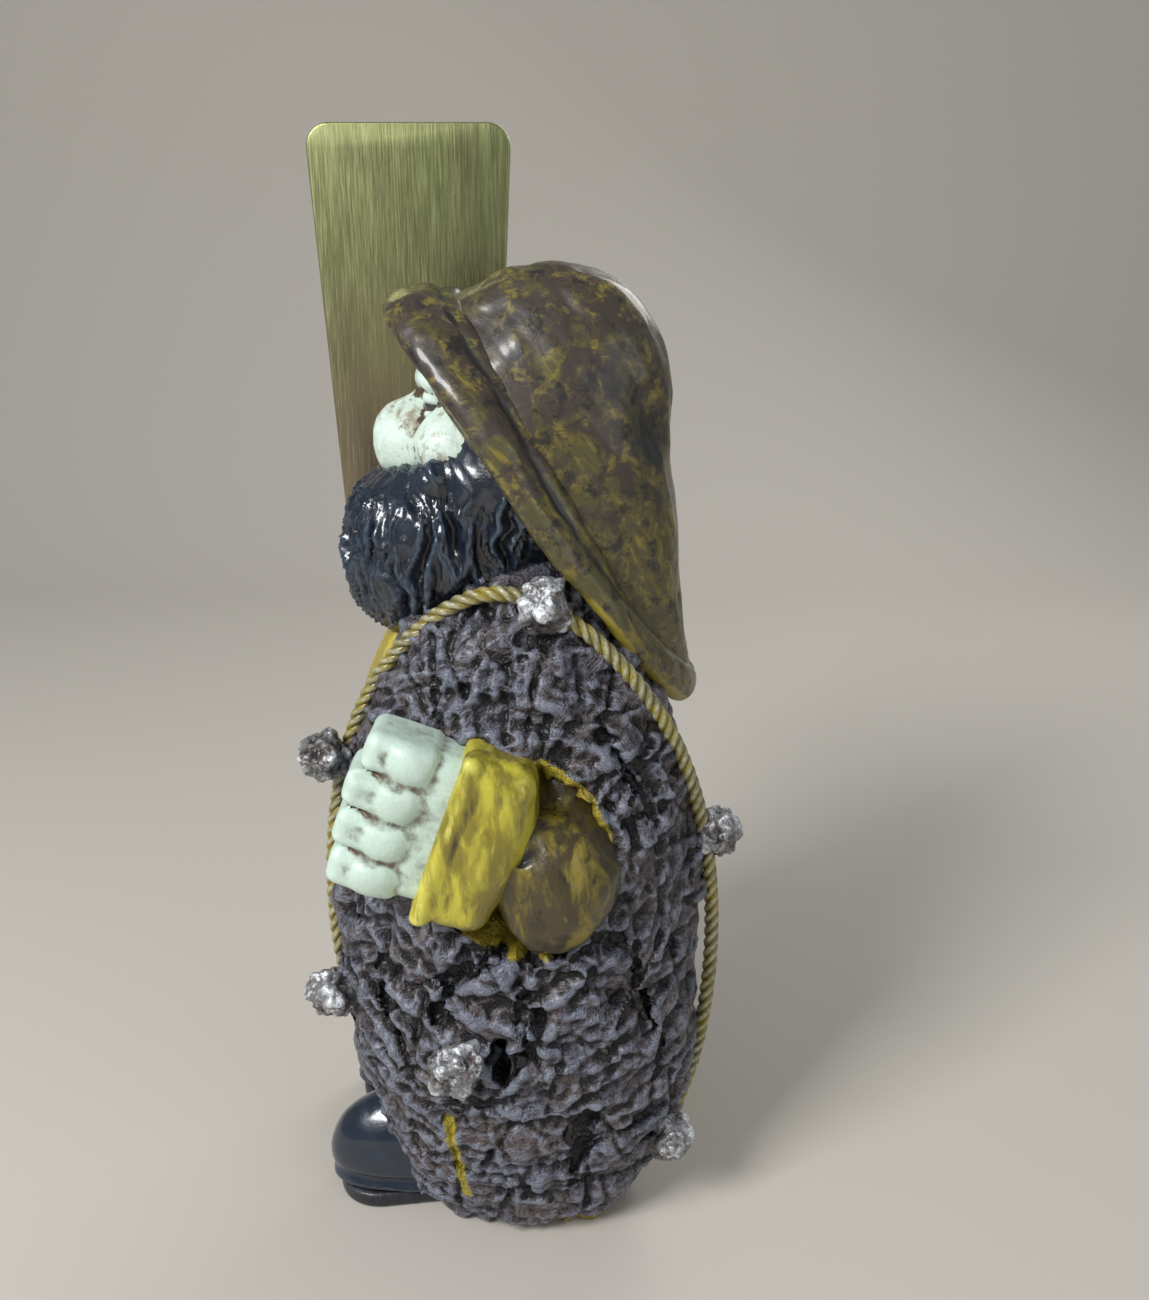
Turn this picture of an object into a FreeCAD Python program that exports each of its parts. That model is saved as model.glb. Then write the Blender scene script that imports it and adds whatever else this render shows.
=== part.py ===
"""Souvenir bottle opener: a small oilskin fisherman who holds a flat metal oar.

The oar is the opener. Its tang stands in a slot through the right fist and lifts
straight out. Everything else is the figure: sou'wester, head, beard, coat, arms,
legs, boots, and a net with a float line draped over the left shoulder.

Axes: the fisherman faces -X, his left side is -Y, +Z is up. The origin lies on the
ground under the middle of the object. All sizes are in millimetres and degrees.
"""
import FreeCAD, Part
import math
import os
import re
import Sketcher
from FreeCAD import Placement, Rotation, Vector

SIZES = {
    # where the figure stands
    "leg_line_x": -2.0,          # the legs' centre line, front to back
    "body_y": 3.5,               # the body's middle plane
    "leg_spread": 10.5,          # middle plane to each leg's axis
    "toe_out": 8.0,              # each boot turns outwards by this angle
    # boots and legs
    "sole_length": 48.0,
    "sole_width": 17.5,
    "sole_thick": 3.2,
    "sole_corner": 8.2,
    "heel_reach": 11.0,          # leg axis to the back of the heel
    "boot_height": 34.0,
    "boot_shaft_radius": 9.0,
    "foot_centre_ahead": 17.0,   # leg axis to the middle of the foot's bulge
    "foot_centre_height": 8.5,
    "foot_half_length": 19.2,
    "foot_half_width": 9.2,
    "foot_half_height": 13.5,
    "trouser_radius": 8.2,
    "trouser_show": 5.0,         # trouser leg seen between boot and coat
    # coat, from its hem up
    "coat_x": -1.0,
    "skirt_above_hem": 16.0,     # height of the skirt's widest line
    "coat_skirt_half_x": 28.5,
    "coat_skirt_half_y": 20.0,
    "coat_skirt_half_z": 50.0,
    "chest_above_hem": 43.0,     # height of the chest's widest line
    "chest_half_x": 29.0,
    "chest_half_y": 19.5,
    "chest_half_z": 42.0,
    "neck_above_hem": 83.0,
    "neck_radius": 10.0,
    "neck_length": 16.0,
    "collar_below_neck": 5.0,
    "collar_behind_coat": 1.0,
    "collar_ring_radius": 13.5,
    "collar_thick_radius": 4.2,
    "button_radius": 2.6,
    "button_proud": 1.6,
    "button_seat": 5.0,
    "button_pitch": 14.0,
    "first_button_above_hem": 14.0,
    "button_count": 3,
    # head and beard
    "head_x": 2.0,
    "head_above_neck": 19.0,
    "head_radius": 18.0,
    "nose_radius": 7.6,
    "nose_reach": 20.0,
    "nose_above_head": 2.5,
    "beard_reach": 14.0,
    "beard_below_head": 15.5,
    "beard_half_x": 20.0,
    "beard_half_y": 20.0,
    "beard_half_z": 16.5,
    "moustache_reach": 19.5,
    "moustache_below_head": 5.0,
    "moustache_half_x": 8.5,
    "moustache_half_y": 12.0,
    "moustache_half_z": 4.5,
    "sideburn_reach": 5.0,
    "sideburn_below_head": 4.5,
    "sideburn_half_x": 8.0,
    "sideburn_half_y": 19.5,
    "sideburn_half_z": 12.5,
    # sou'wester, in a frame that tips back with the brim
    "hat_tilt": 52.0,
    "hat_behind_head": 3.5,
    "hat_below_head": 8.0,
    "brim_half_length": 42.0,
    "brim_half_width": 24.0,
    "brim_thick": 3.6,
    "crown_ahead": 13.0,
    "crown_half_length": 24.5,
    "crown_half_width": 20.0,
    "crown_rise": 29.0,
    "nape_behind": 8.0,
    "nape_half_length": 31.0,
    "nape_half_width": 18.0,
    "nape_rise": 11.0,
    # arms and hands
    "shoulder_x": 8.0,
    "shoulder_below_neck": 19.0,
    "left_shoulder_out": 21.0,
    "right_shoulder_out": 16.0,
    "arm_out": 21.0,
    "sleeve_radius": 9.0,
    "sleeve_head_radius": 10.3,   # the fuller top of the sleeve, at the shoulder
    "upper_arm": 30.0,
    "elbow_back": 5.0,
    "forearm": 17.0,
    "forearm_rise": 1.5,
    "cuff_half_thick": 5.5,
    "cuff_half_depth": 8.3,
    "cuff_half_height": 15.0,
    "cuff_round": 4.2,
    "palm_half_x": 10.5,
    "palm_half_y": 6.5,
    "palm_half_z": 14.0,
    "finger_length": 21.0,
    "finger_depth": 12.0,
    "finger_height": 7.6,
    "finger_pitch": 7.2,
    "finger_round": 2.4,
    "finger_count": 4,
    "finger_tip_ahead": 12.0,
    "finger_outside": 7.2,
    "left_hand_tilt": 19.5,
    "left_hand_x": -18.2,
    "left_hand_y": -28.0,
    "left_hand_z": 88.4,
    "right_hand_z": 80.0,
    "cuff_behind_hand": 11.8,
    # oar opener
    "oar_x": -20.5,
    "oar_y": 29.5,
    "oar_length": 178.0,
    "oar_top": 196.5,
    "oar_thick": 2.2,
    "blade_top_half_width": 18.7,
    "blade_low_half_width": 14.0,
    "blade_height": 87.0,
    "blade_corner": 4.2,
    "blade_shoulder_height": 10.0,
    "blade_shoulder_round": 5.0,
    "neck_half_width": 5.0,
    "tang_half_width": 4.0,
    "tang_corner": 2.5,
    "mouth_half_width": 8.75,
    "mouth_height": 21.0,
    "mouth_above_blade_end": 3.5,
    "mouth_round": 8.0,
    "tooth_half_width": 3.2,
    "tooth_height": 2.6,
    "tang_clearance": 0.35,      # running gap round the tang in the fist
    "rest_gap": 0.3,             # oar's step above the fist it rests on
    # net and its line
    "net_x": 1.0,
    "net_y": -8.5,
    "net_half_x": 34.0,
    "net_half_y": 24.0,
    "net_half_z": 63.5,
    "skirt_x": 3.0,              # the net's fuller lower part
    "skirt_half_x": 32.5,
    "skirt_half_z": 39.5,
    "skirt_z": 38.5,
    "line_radius": 1.7,
    "small_float_radius": 4.7,
    "large_float_radius": 5.2,
}

# Floats on the net: place of each, and which of the two sizes it has.
FLOATS = [
    ((4.8, -20.9, 120.7), "small_float_radius"),
    ((-33.4, -14.5, 92.0), "small_float_radius"),
    ((34.7, -11.5, 75.9), "small_float_radius"),
    ((-34.1, -18.5, 47.6), "small_float_radius"),
    ((-10.9, -32.5, 41.8), "large_float_radius"),
    ((27.4, -19.5, 17.1), "small_float_radius"),
]

# The float line's route round the edge of the net, from low on the right side of
# the drape, over the shoulder, and down the other side. It is a cord, so its
# points are chosen by hand.
LINE_ROUTE = [
    (24.0, -15.5, 12.0),
    (29.5, -15.5, 22.0),
    (33.6, -13.5, 38.0),
    (34.9, -11.5, 58.0),
    (33.2, -11.0, 79.0),
    (28.2, -12.5, 97.0),
    (21.0, -17.0, 109.5),
    (10.0, -19.0, 120.5),
    (-2.5, -19.5, 122.5),
    (-14.5, -17.0, 116.5),
    (-24.5, -14.5, 103.5),
    (-30.6, -13.5, 88.0),
    (-33.2, -14.0, 69.0),
    (-32.6, -16.0, 50.0),
    (-28.5, -17.5, 32.0),
    (-21.5, -19.5, 20.0),
]

for float_number, (float_place, _) in enumerate(FLOATS, start=1):
    for float_letter, float_value in zip("xyz", float_place):
        SIZES[f"float_{float_number}_{float_letter}"] = float_value

doc = FreeCAD.newDocument("fisherman_opener")
sheet = doc.addObject("Spreadsheet::Sheet", "Sizes")
ALIAS = re.compile(r"\b(" + "|".join(sorted(SIZES, key=len, reverse=True)) + r")\b")
pieces = {}
uncut = {}


def fill_sheet():
    """Write each driving size into the sheet, under its own alias."""
    for row, (name, value) in enumerate(SIZES.items(), start=1):
        sheet.set(f"A{row}", name)
        sheet.set(f"B{row}", str(value))
        sheet.setAlias(f"B{row}", name)
    doc.recompute()


def expr(text):
    """An expression of sheet names, in the form that setExpression reads."""
    return ALIAS.sub(r"Sizes.\1", str(text))


def bind(obj, **properties):
    """Bind properties of an object to expressions of sheet names."""
    for name, text in properties.items():
        obj.setExpression(name, expr(text))
    return obj


def place(obj, x, y, z, axis=None, angle=None):
    """Bind an object's place, and its turn about one axis, to the sheet."""
    if axis is not None:
        obj.Placement = Placement(Vector(), Rotation(axis, 1.0))
        obj.setExpression("Placement.Rotation.Angle", expr(angle))
    for letter, text in zip("xyz", (x, y, z)):
        obj.setExpression(f"Placement.Base.{letter}", expr(text))
    return obj


def primitive(kind, name, **properties):
    """A Part primitive whose sizes are bound to the sheet."""
    return bind(doc.addObject(f"Part::{kind}", name), **properties)


def ellipsoid(name, half_x, half_y, half_z):
    """An ellipsoid by its three half sizes."""
    return primitive("Ellipsoid", name, Radius1=half_z, Radius2=half_x, Radius3=half_y)


def fuse(name, shapes):
    """One solid made of several overlapping shapes."""
    result = doc.addObject("Part::MultiFuse", name)
    result.Shapes = shapes
    return result


def less(base, neighbours, name):
    """The base with each neighbour's uncut form taken away, so that they meet face to face."""
    for number, neighbour in enumerate(neighbours, start=1):
        cut = doc.addObject("Part::Cut", f"{name}_cut_{number}")
        cut.Base = base
        cut.Tool = uncut.get(neighbour) or doc.getObject(neighbour)
        base = cut
    return base


def cutting_block(name, reach):
    """A cube with sides four times the reach, which cuts away all that lies inside it."""
    side = f"4 * {reach}"
    return primitive("Box", name, Length=side, Width=side, Height=side)


def add_piece(name, obj, whole=None):
    """Keep a finished piece under its node name, with the form it had before its cuts."""
    obj.Label = name
    pieces[name] = obj
    uncut[name] = whole or obj
    return obj


def body_plane(body, role):
    """One of a body's own origin planes."""
    return next(f for f in body.Origin.OriginFeatures if f.Role == role)


def polygon_sketch(body, name, plane, points):
    """A closed polygon in a body's plane, with both coordinates of each corner bound."""
    sketch = body.newObject("Sketcher::SketchObject", name)
    sketch.AttachmentSupport = (body_plane(body, plane), [""])
    sketch.MapMode = "FlatFace"
    count = len(points)
    start_radius = 30.0
    turns = [2 * math.pi * i / count for i in range(count)]
    spots = [Vector(start_radius * math.cos(a), start_radius * math.sin(a), 0) for a in turns]
    for i in range(count):
        sketch.addGeometry(Part.LineSegment(spots[i], spots[(i + 1) % count]))
    for i in range(count):
        sketch.addConstraint(Sketcher.Constraint("Coincident", i, 2, (i + 1) % count, 1))
    for i, point in enumerate(points):
        starts = (spots[i].x, spots[i].y)
        for kind, text, start in zip(("DistanceX", "DistanceY"), point, starts):
            index = sketch.addConstraint(Sketcher.Constraint(kind, i, 1, start))
            sketch.renameConstraint(index, f"{kind}{i}")
            sketch.setExpression(f"Constraints.{kind}{i}", expr(text))
    return sketch


def new_body(name):
    """An empty PartDesign body."""
    return doc.addObject("PartDesign::Body", name)


def pad(body, sketch, length):
    """Pad a sketch to both sides of its plane by half the length each."""
    feature = body.newObject("PartDesign::Pad", sketch.Name + "_pad")
    feature.Profile = sketch
    feature.Midplane = True
    feature.setExpression("Length", expr(length))
    sketch.Visibility = False
    return feature


def round_edges(body, base, name, keep, radius):
    """Fillet the edges of a feature that pass the test keep(edge)."""
    doc.recompute()
    edges = [f"Edge{i}" for i, edge in enumerate(base.Shape.Edges, start=1) if keep(edge)]
    feature = body.newObject("PartDesign::Fillet", name)
    feature.Base = (base, edges)
    feature.setExpression("Radius", expr(radius))
    return feature


def size(name):
    """A driving size's value, read back from the sheet."""
    return float(sheet.get(name))


# Heights that several pieces share, from the ground up.
HEM_Z = "(boot_height + trouser_show)"
NECK_Z = f"({HEM_Z} + neck_above_hem)"
HEAD_Z = f"({NECK_Z} + head_above_neck)"
HAT_X = "(head_x + hat_behind_head)"
HAT_Z = f"({HEAD_Z} - hat_below_head)"

FIST_HALF_HEIGHT = "(finger_pitch * (finger_count - 1) + finger_height) / 2"

ABOUT_X = Vector(1, 0, 0)
ABOUT_Y = Vector(0, 1, 0)
ABOUT_Z = Vector(0, 0, 1)


def place_in_hat(obj, along, across, up):
    """Place an object in the hat's tilted frame: along the brim, across it, and up from it."""
    x = f"{HAT_X} + ({along}) * cos(hat_tilt) + ({up}) * sin(hat_tilt)"
    z = f"{HAT_Z} - ({along}) * sin(hat_tilt) + ({up}) * cos(hat_tilt)"
    return place(obj, x, f"body_y + ({across})", z, ABOUT_Y, "hat_tilt")


def leg_place(obj, side, ahead, height):
    """Place a boot's part: ahead of the leg's axis, turned out with the toe."""
    x = f"leg_line_x - ({ahead}) * cos(toe_out)"
    y = f"body_y + {side} * (leg_spread + ({ahead}) * sin(toe_out))"
    return place(obj, x, y, height, ABOUT_Z, f"{-side} * toe_out")


def make_leg(side_name, side):
    """One sole, boot and trouser leg. side is -1 on the left and +1 on the right."""
    body = new_body(f"{side_name}_sole_body")
    back = "heel_reach"
    front = "heel_reach - sole_length"
    half = "sole_width / 2"
    outline = [(back, half), (front, half), (front, f"-{half}"), (back, f"-{half}")]
    sketch = polygon_sketch(body, f"{side_name}_sole_outline", "XY_Plane", outline)
    plate = pad(body, sketch, "sole_thick")
    round_edges(body, plate, f"{side_name}_sole_ends", is_upright, "sole_corner")
    leg_place(body, side, "0", "sole_thick / 2")
    add_piece(f"{side_name}_sole", body)

    shaft = primitive("Cylinder", f"{side_name}_boot_shaft", Radius="boot_shaft_radius",
                      Height="boot_height - sole_thick")
    leg_place(shaft, side, "0", "sole_thick")
    foot = ellipsoid(f"{side_name}_foot", "foot_half_length", "foot_half_width", "foot_half_height")
    leg_place(foot, side, "foot_centre_ahead", "foot_centre_height")
    under = cutting_block(f"{side_name}_boot_under", "sole_length")
    place(under, "leg_line_x - 2 * sole_length", "body_y - 2 * sole_length",
          "sole_thick - 4 * sole_length")
    boot = fuse(f"{side_name}_boot_upper", [shaft, foot])
    add_piece(f"{side_name}_boot", less(boot, [under.Name], f"{side_name}_boot"))

    trouser = primitive("Cylinder", f"{side_name}_trouser_leg", Radius="trouser_radius",
                        Height="trouser_show")
    place(trouser, "leg_line_x", f"body_y + {side} * leg_spread", "boot_height")
    add_piece(f"{side_name}_trouser", trouser)


def is_upright(edge):
    """True for a straight edge along Z."""
    return is_along(edge, Vector(0, 0, 1))


def is_along(edge, direction):
    """True for a straight edge along the direction."""
    if edge.Curve.TypeId != "Part::GeomLine":
        return False
    run = edge.Vertexes[1].Point - edge.Vertexes[0].Point
    return abs(run.normalize().dot(direction)) > 0.999


def make_head():
    """The head with its nose."""
    skull = primitive("Sphere", "skull", Radius="head_radius")
    place(skull, "head_x", "body_y", HEAD_Z)
    nose = primitive("Sphere", "nose", Radius="nose_radius")
    place(nose, "head_x - nose_reach", "body_y", f"{HEAD_Z} + nose_above_head")
    add_piece("head", fuse("skull_and_nose", [skull, nose]))


def make_hat():
    """The sou'wester: a flat tilted brim and a crown that falls away to the nape."""
    oval = primitive("Ellipse", "brim_oval", MajorRadius="brim_half_length",
                     MinorRadius="brim_half_width")
    plate = doc.addObject("Part::Extrusion", "brim_plate")
    plate.Base = oval
    plate.DirMode = "Custom"
    plate.Dir = Vector(0, 0, 1)
    plate.Solid = True
    bind(plate, LengthFwd="brim_thick")
    place_in_hat(plate, "0", "0", "0")
    add_piece("hat_brim", less(plate, ["head"], "hat_brim"), plate)

    dome = ellipsoid("crown_dome", "crown_half_length", "crown_half_width", "crown_rise")
    place_in_hat(dome, "-crown_ahead", "0", "brim_thick")
    nape = ellipsoid("crown_nape", "nape_half_length", "nape_half_width", "nape_rise")
    place_in_hat(nape, "nape_behind", "0", "brim_thick")
    under = cutting_block("crown_under", "brim_half_length")
    place_in_hat(under, "-2 * brim_half_length", "-2 * brim_half_length",
                 "brim_thick - 4 * brim_half_length")
    crown = less(fuse("crown_whole", [dome, nape]), [under.Name], "crown_cap")
    add_piece("hat_crown", less(crown, ["head"], "hat_crown"), crown)


def make_beard():
    """The beard, its moustache and the sideburns that go up under the brim."""
    parts = []
    for name in ("beard", "moustache", "sideburn"):
        part = ellipsoid(f"{name}_mass", f"{name}_half_x", f"{name}_half_y", f"{name}_half_z")
        place(part, f"head_x - {name}_reach", "body_y", f"{HEAD_Z} - {name}_below_head")
        parts.append(part)
    whole = fuse("beard_whole", parts)
    add_piece("beard", less(whole, ["head", "hat_brim", "hat_crown"], "beard"), whole)


def make_coat():
    """The oilskin coat with its collar and a row of buttons down the front."""
    ring = primitive("Torus", "collar_ring", Radius1="collar_ring_radius",
                     Radius2="collar_thick_radius")
    place(ring, "coat_x + collar_behind_coat", "body_y", f"{NECK_Z} - collar_below_neck")
    around = ["head", "hat_brim", "hat_crown", "beard"]
    add_piece("collar", less(ring, around, "collar"), ring)

    skirt = ellipsoid("coat_skirt", "coat_skirt_half_x", "coat_skirt_half_y", "coat_skirt_half_z")
    place(skirt, "coat_x", "body_y", f"{HEM_Z} + skirt_above_hem")
    chest = ellipsoid("coat_chest", "chest_half_x", "chest_half_y", "chest_half_z")
    place(chest, "coat_x", "body_y", f"{HEM_Z} + chest_above_hem")
    neck = primitive("Cylinder", "coat_neck", Radius="neck_radius", Height="neck_length")
    place(neck, "coat_x", "body_y", f"{NECK_Z} - neck_length")
    below = cutting_block("coat_below", "coat_skirt_half_z")
    place(below, "coat_x - 2 * coat_skirt_half_z", "body_y - 2 * coat_skirt_half_z",
          f"{HEM_Z} - 4 * coat_skirt_half_z")
    whole = less(fuse("coat_fused", [skirt, chest, neck]), [below.Name], "coat_whole")

    buttons = []
    for number in range(1, int(size("button_count")) + 1):
        button = primitive("Cylinder", f"button_{number}", Radius="button_radius",
                           Height="button_proud + button_seat")
        height = f"{HEM_Z} + first_button_above_hem + {number - 1} * button_pitch"
        place(button, "coat_x - chest_half_x + button_seat", "body_y", height, ABOUT_Y, "-90")
        buttons.append(add_piece(f"coat_button_{number}", button).Label)
    add_piece("coat", less(whole, around + ["collar"] + buttons, "coat"), whole)


def make_sleeve(side_name, side, shoulder_out):
    """A bent sleeve: a round section carried down the upper arm and forward to the wrist."""
    body = new_body(f"{side_name}_sleeve_body")
    bend = [
        ("0", "0"),
        ("elbow_back", "-upper_arm"),
        ("elbow_back - forearm", "forearm_rise - upper_arm"),
    ]
    spine = open_spine(body, f"{side_name}_arm_line", bend)
    section = body.newObject("Sketcher::SketchObject", f"{side_name}_sleeve_section")
    section.AttachmentSupport = (body_plane(body, "XY_Plane"), [""])
    section.MapMode = "FlatFace"
    section.addGeometry(Part.Circle(Vector(), Vector(0, 0, 1), 1.0))
    section.addConstraint(Sketcher.Constraint("Coincident", 0, 3, -1, 1))
    index = section.addConstraint(Sketcher.Constraint("Radius", 0, 1.0))
    section.renameConstraint(index, "SleeveRadius")
    section.setExpression("Constraints.SleeveRadius", expr("sleeve_radius"))
    pipe = body.newObject("PartDesign::AdditivePipe", f"{side_name}_sleeve_pipe")
    pipe.Profile = section
    pipe.Spine = (spine, [])
    pipe.Transition = "Round corner"
    cap = primitive("Sphere", f"{side_name}_shoulder_cap", Radius="sleeve_head_radius")
    for obj in (body, cap):
        place(obj, "shoulder_x", f"body_y + {side} * {shoulder_out}",
              f"{NECK_Z} - shoulder_below_neck", ABOUT_X, f"{side} * arm_out")
    return fuse(f"{side_name}_sleeve_whole", [body, cap])


def open_spine(body, name, points):
    """An open line of runs in the body's XZ plane, its corners bound to the sheet."""
    sketch = body.newObject("Sketcher::SketchObject", name)
    sketch.AttachmentSupport = (body_plane(body, "XZ_Plane"), [""])
    sketch.MapMode = "FlatFace"
    starts = [Vector(0.0, -10.0 * i, 0) for i in range(len(points))]
    for i in range(len(points) - 1):
        sketch.addGeometry(Part.LineSegment(starts[i], starts[i + 1]))
    for i in range(len(points) - 2):
        sketch.addConstraint(Sketcher.Constraint("Coincident", i, 2, i + 1, 1))
    sketch.addConstraint(Sketcher.Constraint("Coincident", 0, 1, -1, 1))
    for i in range(1, len(points)):
        for kind, text, start in zip(("DistanceX", "DistanceY"), points[i],
                                     (starts[i].x, starts[i].y)):
            index = sketch.addConstraint(Sketcher.Constraint(kind, i - 1, 2, start))
            sketch.renameConstraint(index, f"{kind}{i}")
            sketch.setExpression(f"Constraints.{kind}{i}", expr(points[i][kind == "DistanceY"]))
    return sketch


def make_fist(side_name, side, x, y, z, tilt):
    """A closed fist: a palm and a stack of fingers, tilted about Y."""
    fingers = new_body(f"{side_name}_fingers")
    tip = "-finger_tip_ahead"
    knuckle = "finger_length - finger_tip_ahead"
    near = f"{side} * finger_outside"
    inner = f"{side} * (finger_outside - finger_depth)"
    outline = [(tip, near), (knuckle, near), (knuckle, inner), (tip, inner)]
    sketch = polygon_sketch(fingers, f"{side_name}_finger_outline", "XY_Plane", outline)
    finger = pad(fingers, sketch, "finger_height")
    rounded = round_edges(fingers, finger, f"{side_name}_finger_round", lambda edge: True,
                          "finger_round")
    stack = fingers.newObject("PartDesign::LinearPattern", f"{side_name}_finger_stack")
    stack.Originals = [finger, rounded]
    stack.Direction = (body_plane(fingers, "XY_Plane"), [""])
    stack.setExpression("Length", expr("finger_pitch * (finger_count - 1)"))
    stack.setExpression("Occurrences", expr("finger_count"))
    fingers.Tip = stack
    lift = "finger_pitch * (finger_count - 1) / 2"
    place(fingers, f"{x} - {lift} * sin({tilt})", y, f"{z} - {lift} * cos({tilt})",
          ABOUT_Y, tilt)
    palm = ellipsoid(f"{side_name}_palm", "palm_half_x", "palm_half_y", "palm_half_z")
    place(palm, x, y, z, ABOUT_Y, tilt)
    return fuse(f"{side_name}_fist", [fingers, palm])


def make_cuff(side_name, x, y, z, tilt):
    """The turned-back end of a sleeve: a rounded block of cloth behind the fist."""
    body = new_body(f"{side_name}_cuff_roll")
    depth, height = "cuff_half_depth", "cuff_half_height"
    outline = [(depth, height), (f"-{depth}", height), (f"-{depth}", f"-{height}"),
               (depth, f"-{height}")]
    sketch = polygon_sketch(body, f"{side_name}_cuff_outline", "YZ_Plane", outline)
    block = pad(body, sketch, "2 * cuff_half_thick")
    round_edges(body, block, f"{side_name}_cuff_round", lambda edge: True, "cuff_round")
    behind = "cuff_behind_hand"
    return place(body, f"{x} + {behind} * cos({tilt})", y, f"{z} - {behind} * sin({tilt})",
                 ABOUT_Y, tilt)


def make_arms():
    """Both arms. The left fist holds the net, and the right one has the oar's slot."""
    left = ("left_hand_x", "left_hand_y", "left_hand_z", "left_hand_tilt")
    hand = make_fist("left", -1, *left)
    add_piece("left_hand", hand)
    cuff = make_cuff("left", *left)
    add_piece("left_cuff", less(cuff, ["left_hand", "coat"], "left_cuff"), cuff)

    right = ("oar_x", "oar_y", "right_hand_z", "0")
    slot = primitive("Box", "tang_slot", Length="2 * (tang_half_width + tang_clearance)",
                     Width="oar_thick + 2 * tang_clearance", Height="6 * palm_half_z")
    place(slot, "oar_x - tang_half_width - tang_clearance",
          "oar_y - oar_thick / 2 - tang_clearance", "right_hand_z - 3 * palm_half_z")
    fist = make_fist("right", 1, *right)
    add_piece("right_hand", less(fist, [slot.Name], "right_hand"), fist)
    cuff = make_cuff("right", *right)
    add_piece("right_cuff", less(cuff, ["right_hand", "coat"], "right_cuff"), cuff)

    for side_name, side in (("left", -1), ("right", 1)):
        sleeve = make_sleeve(side_name, side, f"{side_name}_shoulder_out")
        name = f"{side_name}_sleeve"
        around = ["coat", f"{side_name}_cuff", f"{side_name}_hand"]
        if side_name == "left":
            around += ["float_line", "net_float_1"]
        add_piece(name, less(sleeve, around, name), sleeve)


def make_oar():
    """The flat metal oar: a tapered blade with the cap mouth, a neck, and a tang."""
    body = new_body("oar_body")
    end = "(oar_top - oar_length)"
    step = f"(right_hand_z + {FIST_HALF_HEIGHT} + rest_gap)"
    blade_end = "(oar_top - blade_height)"
    neck_top = f"({blade_end} - blade_shoulder_height)"
    right_side = [
        ("tang_half_width", end),
        ("tang_half_width", step),
        ("neck_half_width", step),
        ("neck_half_width", neck_top),
        ("blade_low_half_width", blade_end),
        ("blade_top_half_width", "oar_top"),
    ]
    left_side = [(f"-{x}", z) for x, z in reversed(right_side)]
    sketch = polygon_sketch(body, "oar_outline", "XZ_Plane", right_side + left_side)
    plate = pad(body, sketch, "oar_thick")

    low = f"({blade_end} + mouth_above_blade_end)"
    tooth = f"({low} + tooth_height)"
    high = f"({low} + mouth_height)"
    mouth = [
        ("mouth_half_width", low),
        ("mouth_half_width", high),
        ("-mouth_half_width", high),
        ("-mouth_half_width", low),
        ("-tooth_half_width", low),
        ("-tooth_half_width", tooth),
        ("tooth_half_width", tooth),
        ("tooth_half_width", low),
    ]
    mouth_sketch = polygon_sketch(body, "mouth_outline", "XZ_Plane", mouth)
    pocket = body.newObject("PartDesign::Pocket", "cap_mouth")
    pocket.Profile = mouth_sketch
    pocket.Type = "ThroughAll"
    pocket.Midplane = True
    doc.recompute()

    top = size("oar_top")
    mouth_top = top - size("blade_height") + size("mouth_above_blade_end") + size("mouth_height")
    shoulder = top - size("blade_height")
    bottom = top - size("oar_length")

    def corner_at(height):
        """A test for the edges through the plate at one height."""
        return lambda edge: is_along(edge, Vector(0, 1, 0)) and abs(
            edge.Vertexes[0].Point.z - height) < 0.01

    rounded = round_edges(body, pocket, "blade_corners", corner_at(top), "blade_corner")
    rounded = round_edges(body, rounded, "mouth_arch", corner_at(mouth_top), "mouth_round")
    rounded = round_edges(body, rounded, "blade_shoulders", corner_at(shoulder),
                          "blade_shoulder_round")
    rounded = round_edges(body, rounded, "tang_end", corner_at(bottom), "tang_corner")
    place(body, "oar_x", "oar_y", "0")
    add_piece("oar_opener", body)


def route_wire(points):
    """Straight runs joined by the largest tangent arcs that the runs allow."""
    share = 0.45
    points = [Vector(*point) for point in points]
    edges = []
    start = points[0]
    for before, corner, after in zip(points, points[1:], points[2:]):
        into = corner - before
        out = after - corner
        set_back = share * min(into.Length, out.Length)
        into.normalize()
        out.normalize()
        arc_start = corner - into * set_back
        arc_end = corner + out * set_back
        turn = into.getAngle(out)
        radius = set_back / math.tan(turn / 2)
        to_centre = (out - into).normalize()
        middle = corner + to_centre * (radius / math.cos(turn / 2) - radius)
        edges.append(Part.LineSegment(start, arc_start).toShape())
        edges.append(Part.Arc(arc_start, middle, arc_end).toShape())
        start = arc_end
    edges.append(Part.LineSegment(start, points[-1]).toShape())
    return Part.Wire(edges)


def make_float_line():
    """The rope along the edge of the net, as one round tube."""
    wire = route_wire(LINE_ROUTE)
    radius = size("line_radius")
    first = Vector(*LINE_ROUTE[0])
    second = Vector(*LINE_ROUTE[1])
    section = Part.Wire(Part.makeCircle(radius, first, second - first))
    tube = wire.makePipeShell([section], True, False)
    line = doc.addObject("Part::Feature", "float_line_tube")
    line.Shape = tube
    print("float line", round(wire.Length, 1), "mm long, volume by section and length",
          round(wire.Length * math.pi * radius ** 2, 1), "and by solid", round(tube.Volume, 1))
    add_piece("float_line", line)


def make_floats():
    """The net's floats, each a ball bored for the line where the line passes through it."""
    for number, (_, radius) in enumerate(FLOATS, start=1):
        ball = primitive("Sphere", f"float_ball_{number}", Radius=radius)
        place(ball, f"float_{number}_x", f"float_{number}_y", f"float_{number}_z")
        name = f"net_float_{number}"
        doc.recompute()
        if ball.Shape.distToShape(pieces["float_line"].Shape)[0] < 0.01:
            add_piece(name, less(ball, ["float_line"], name), ball)
        else:
            add_piece(name, ball)


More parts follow.
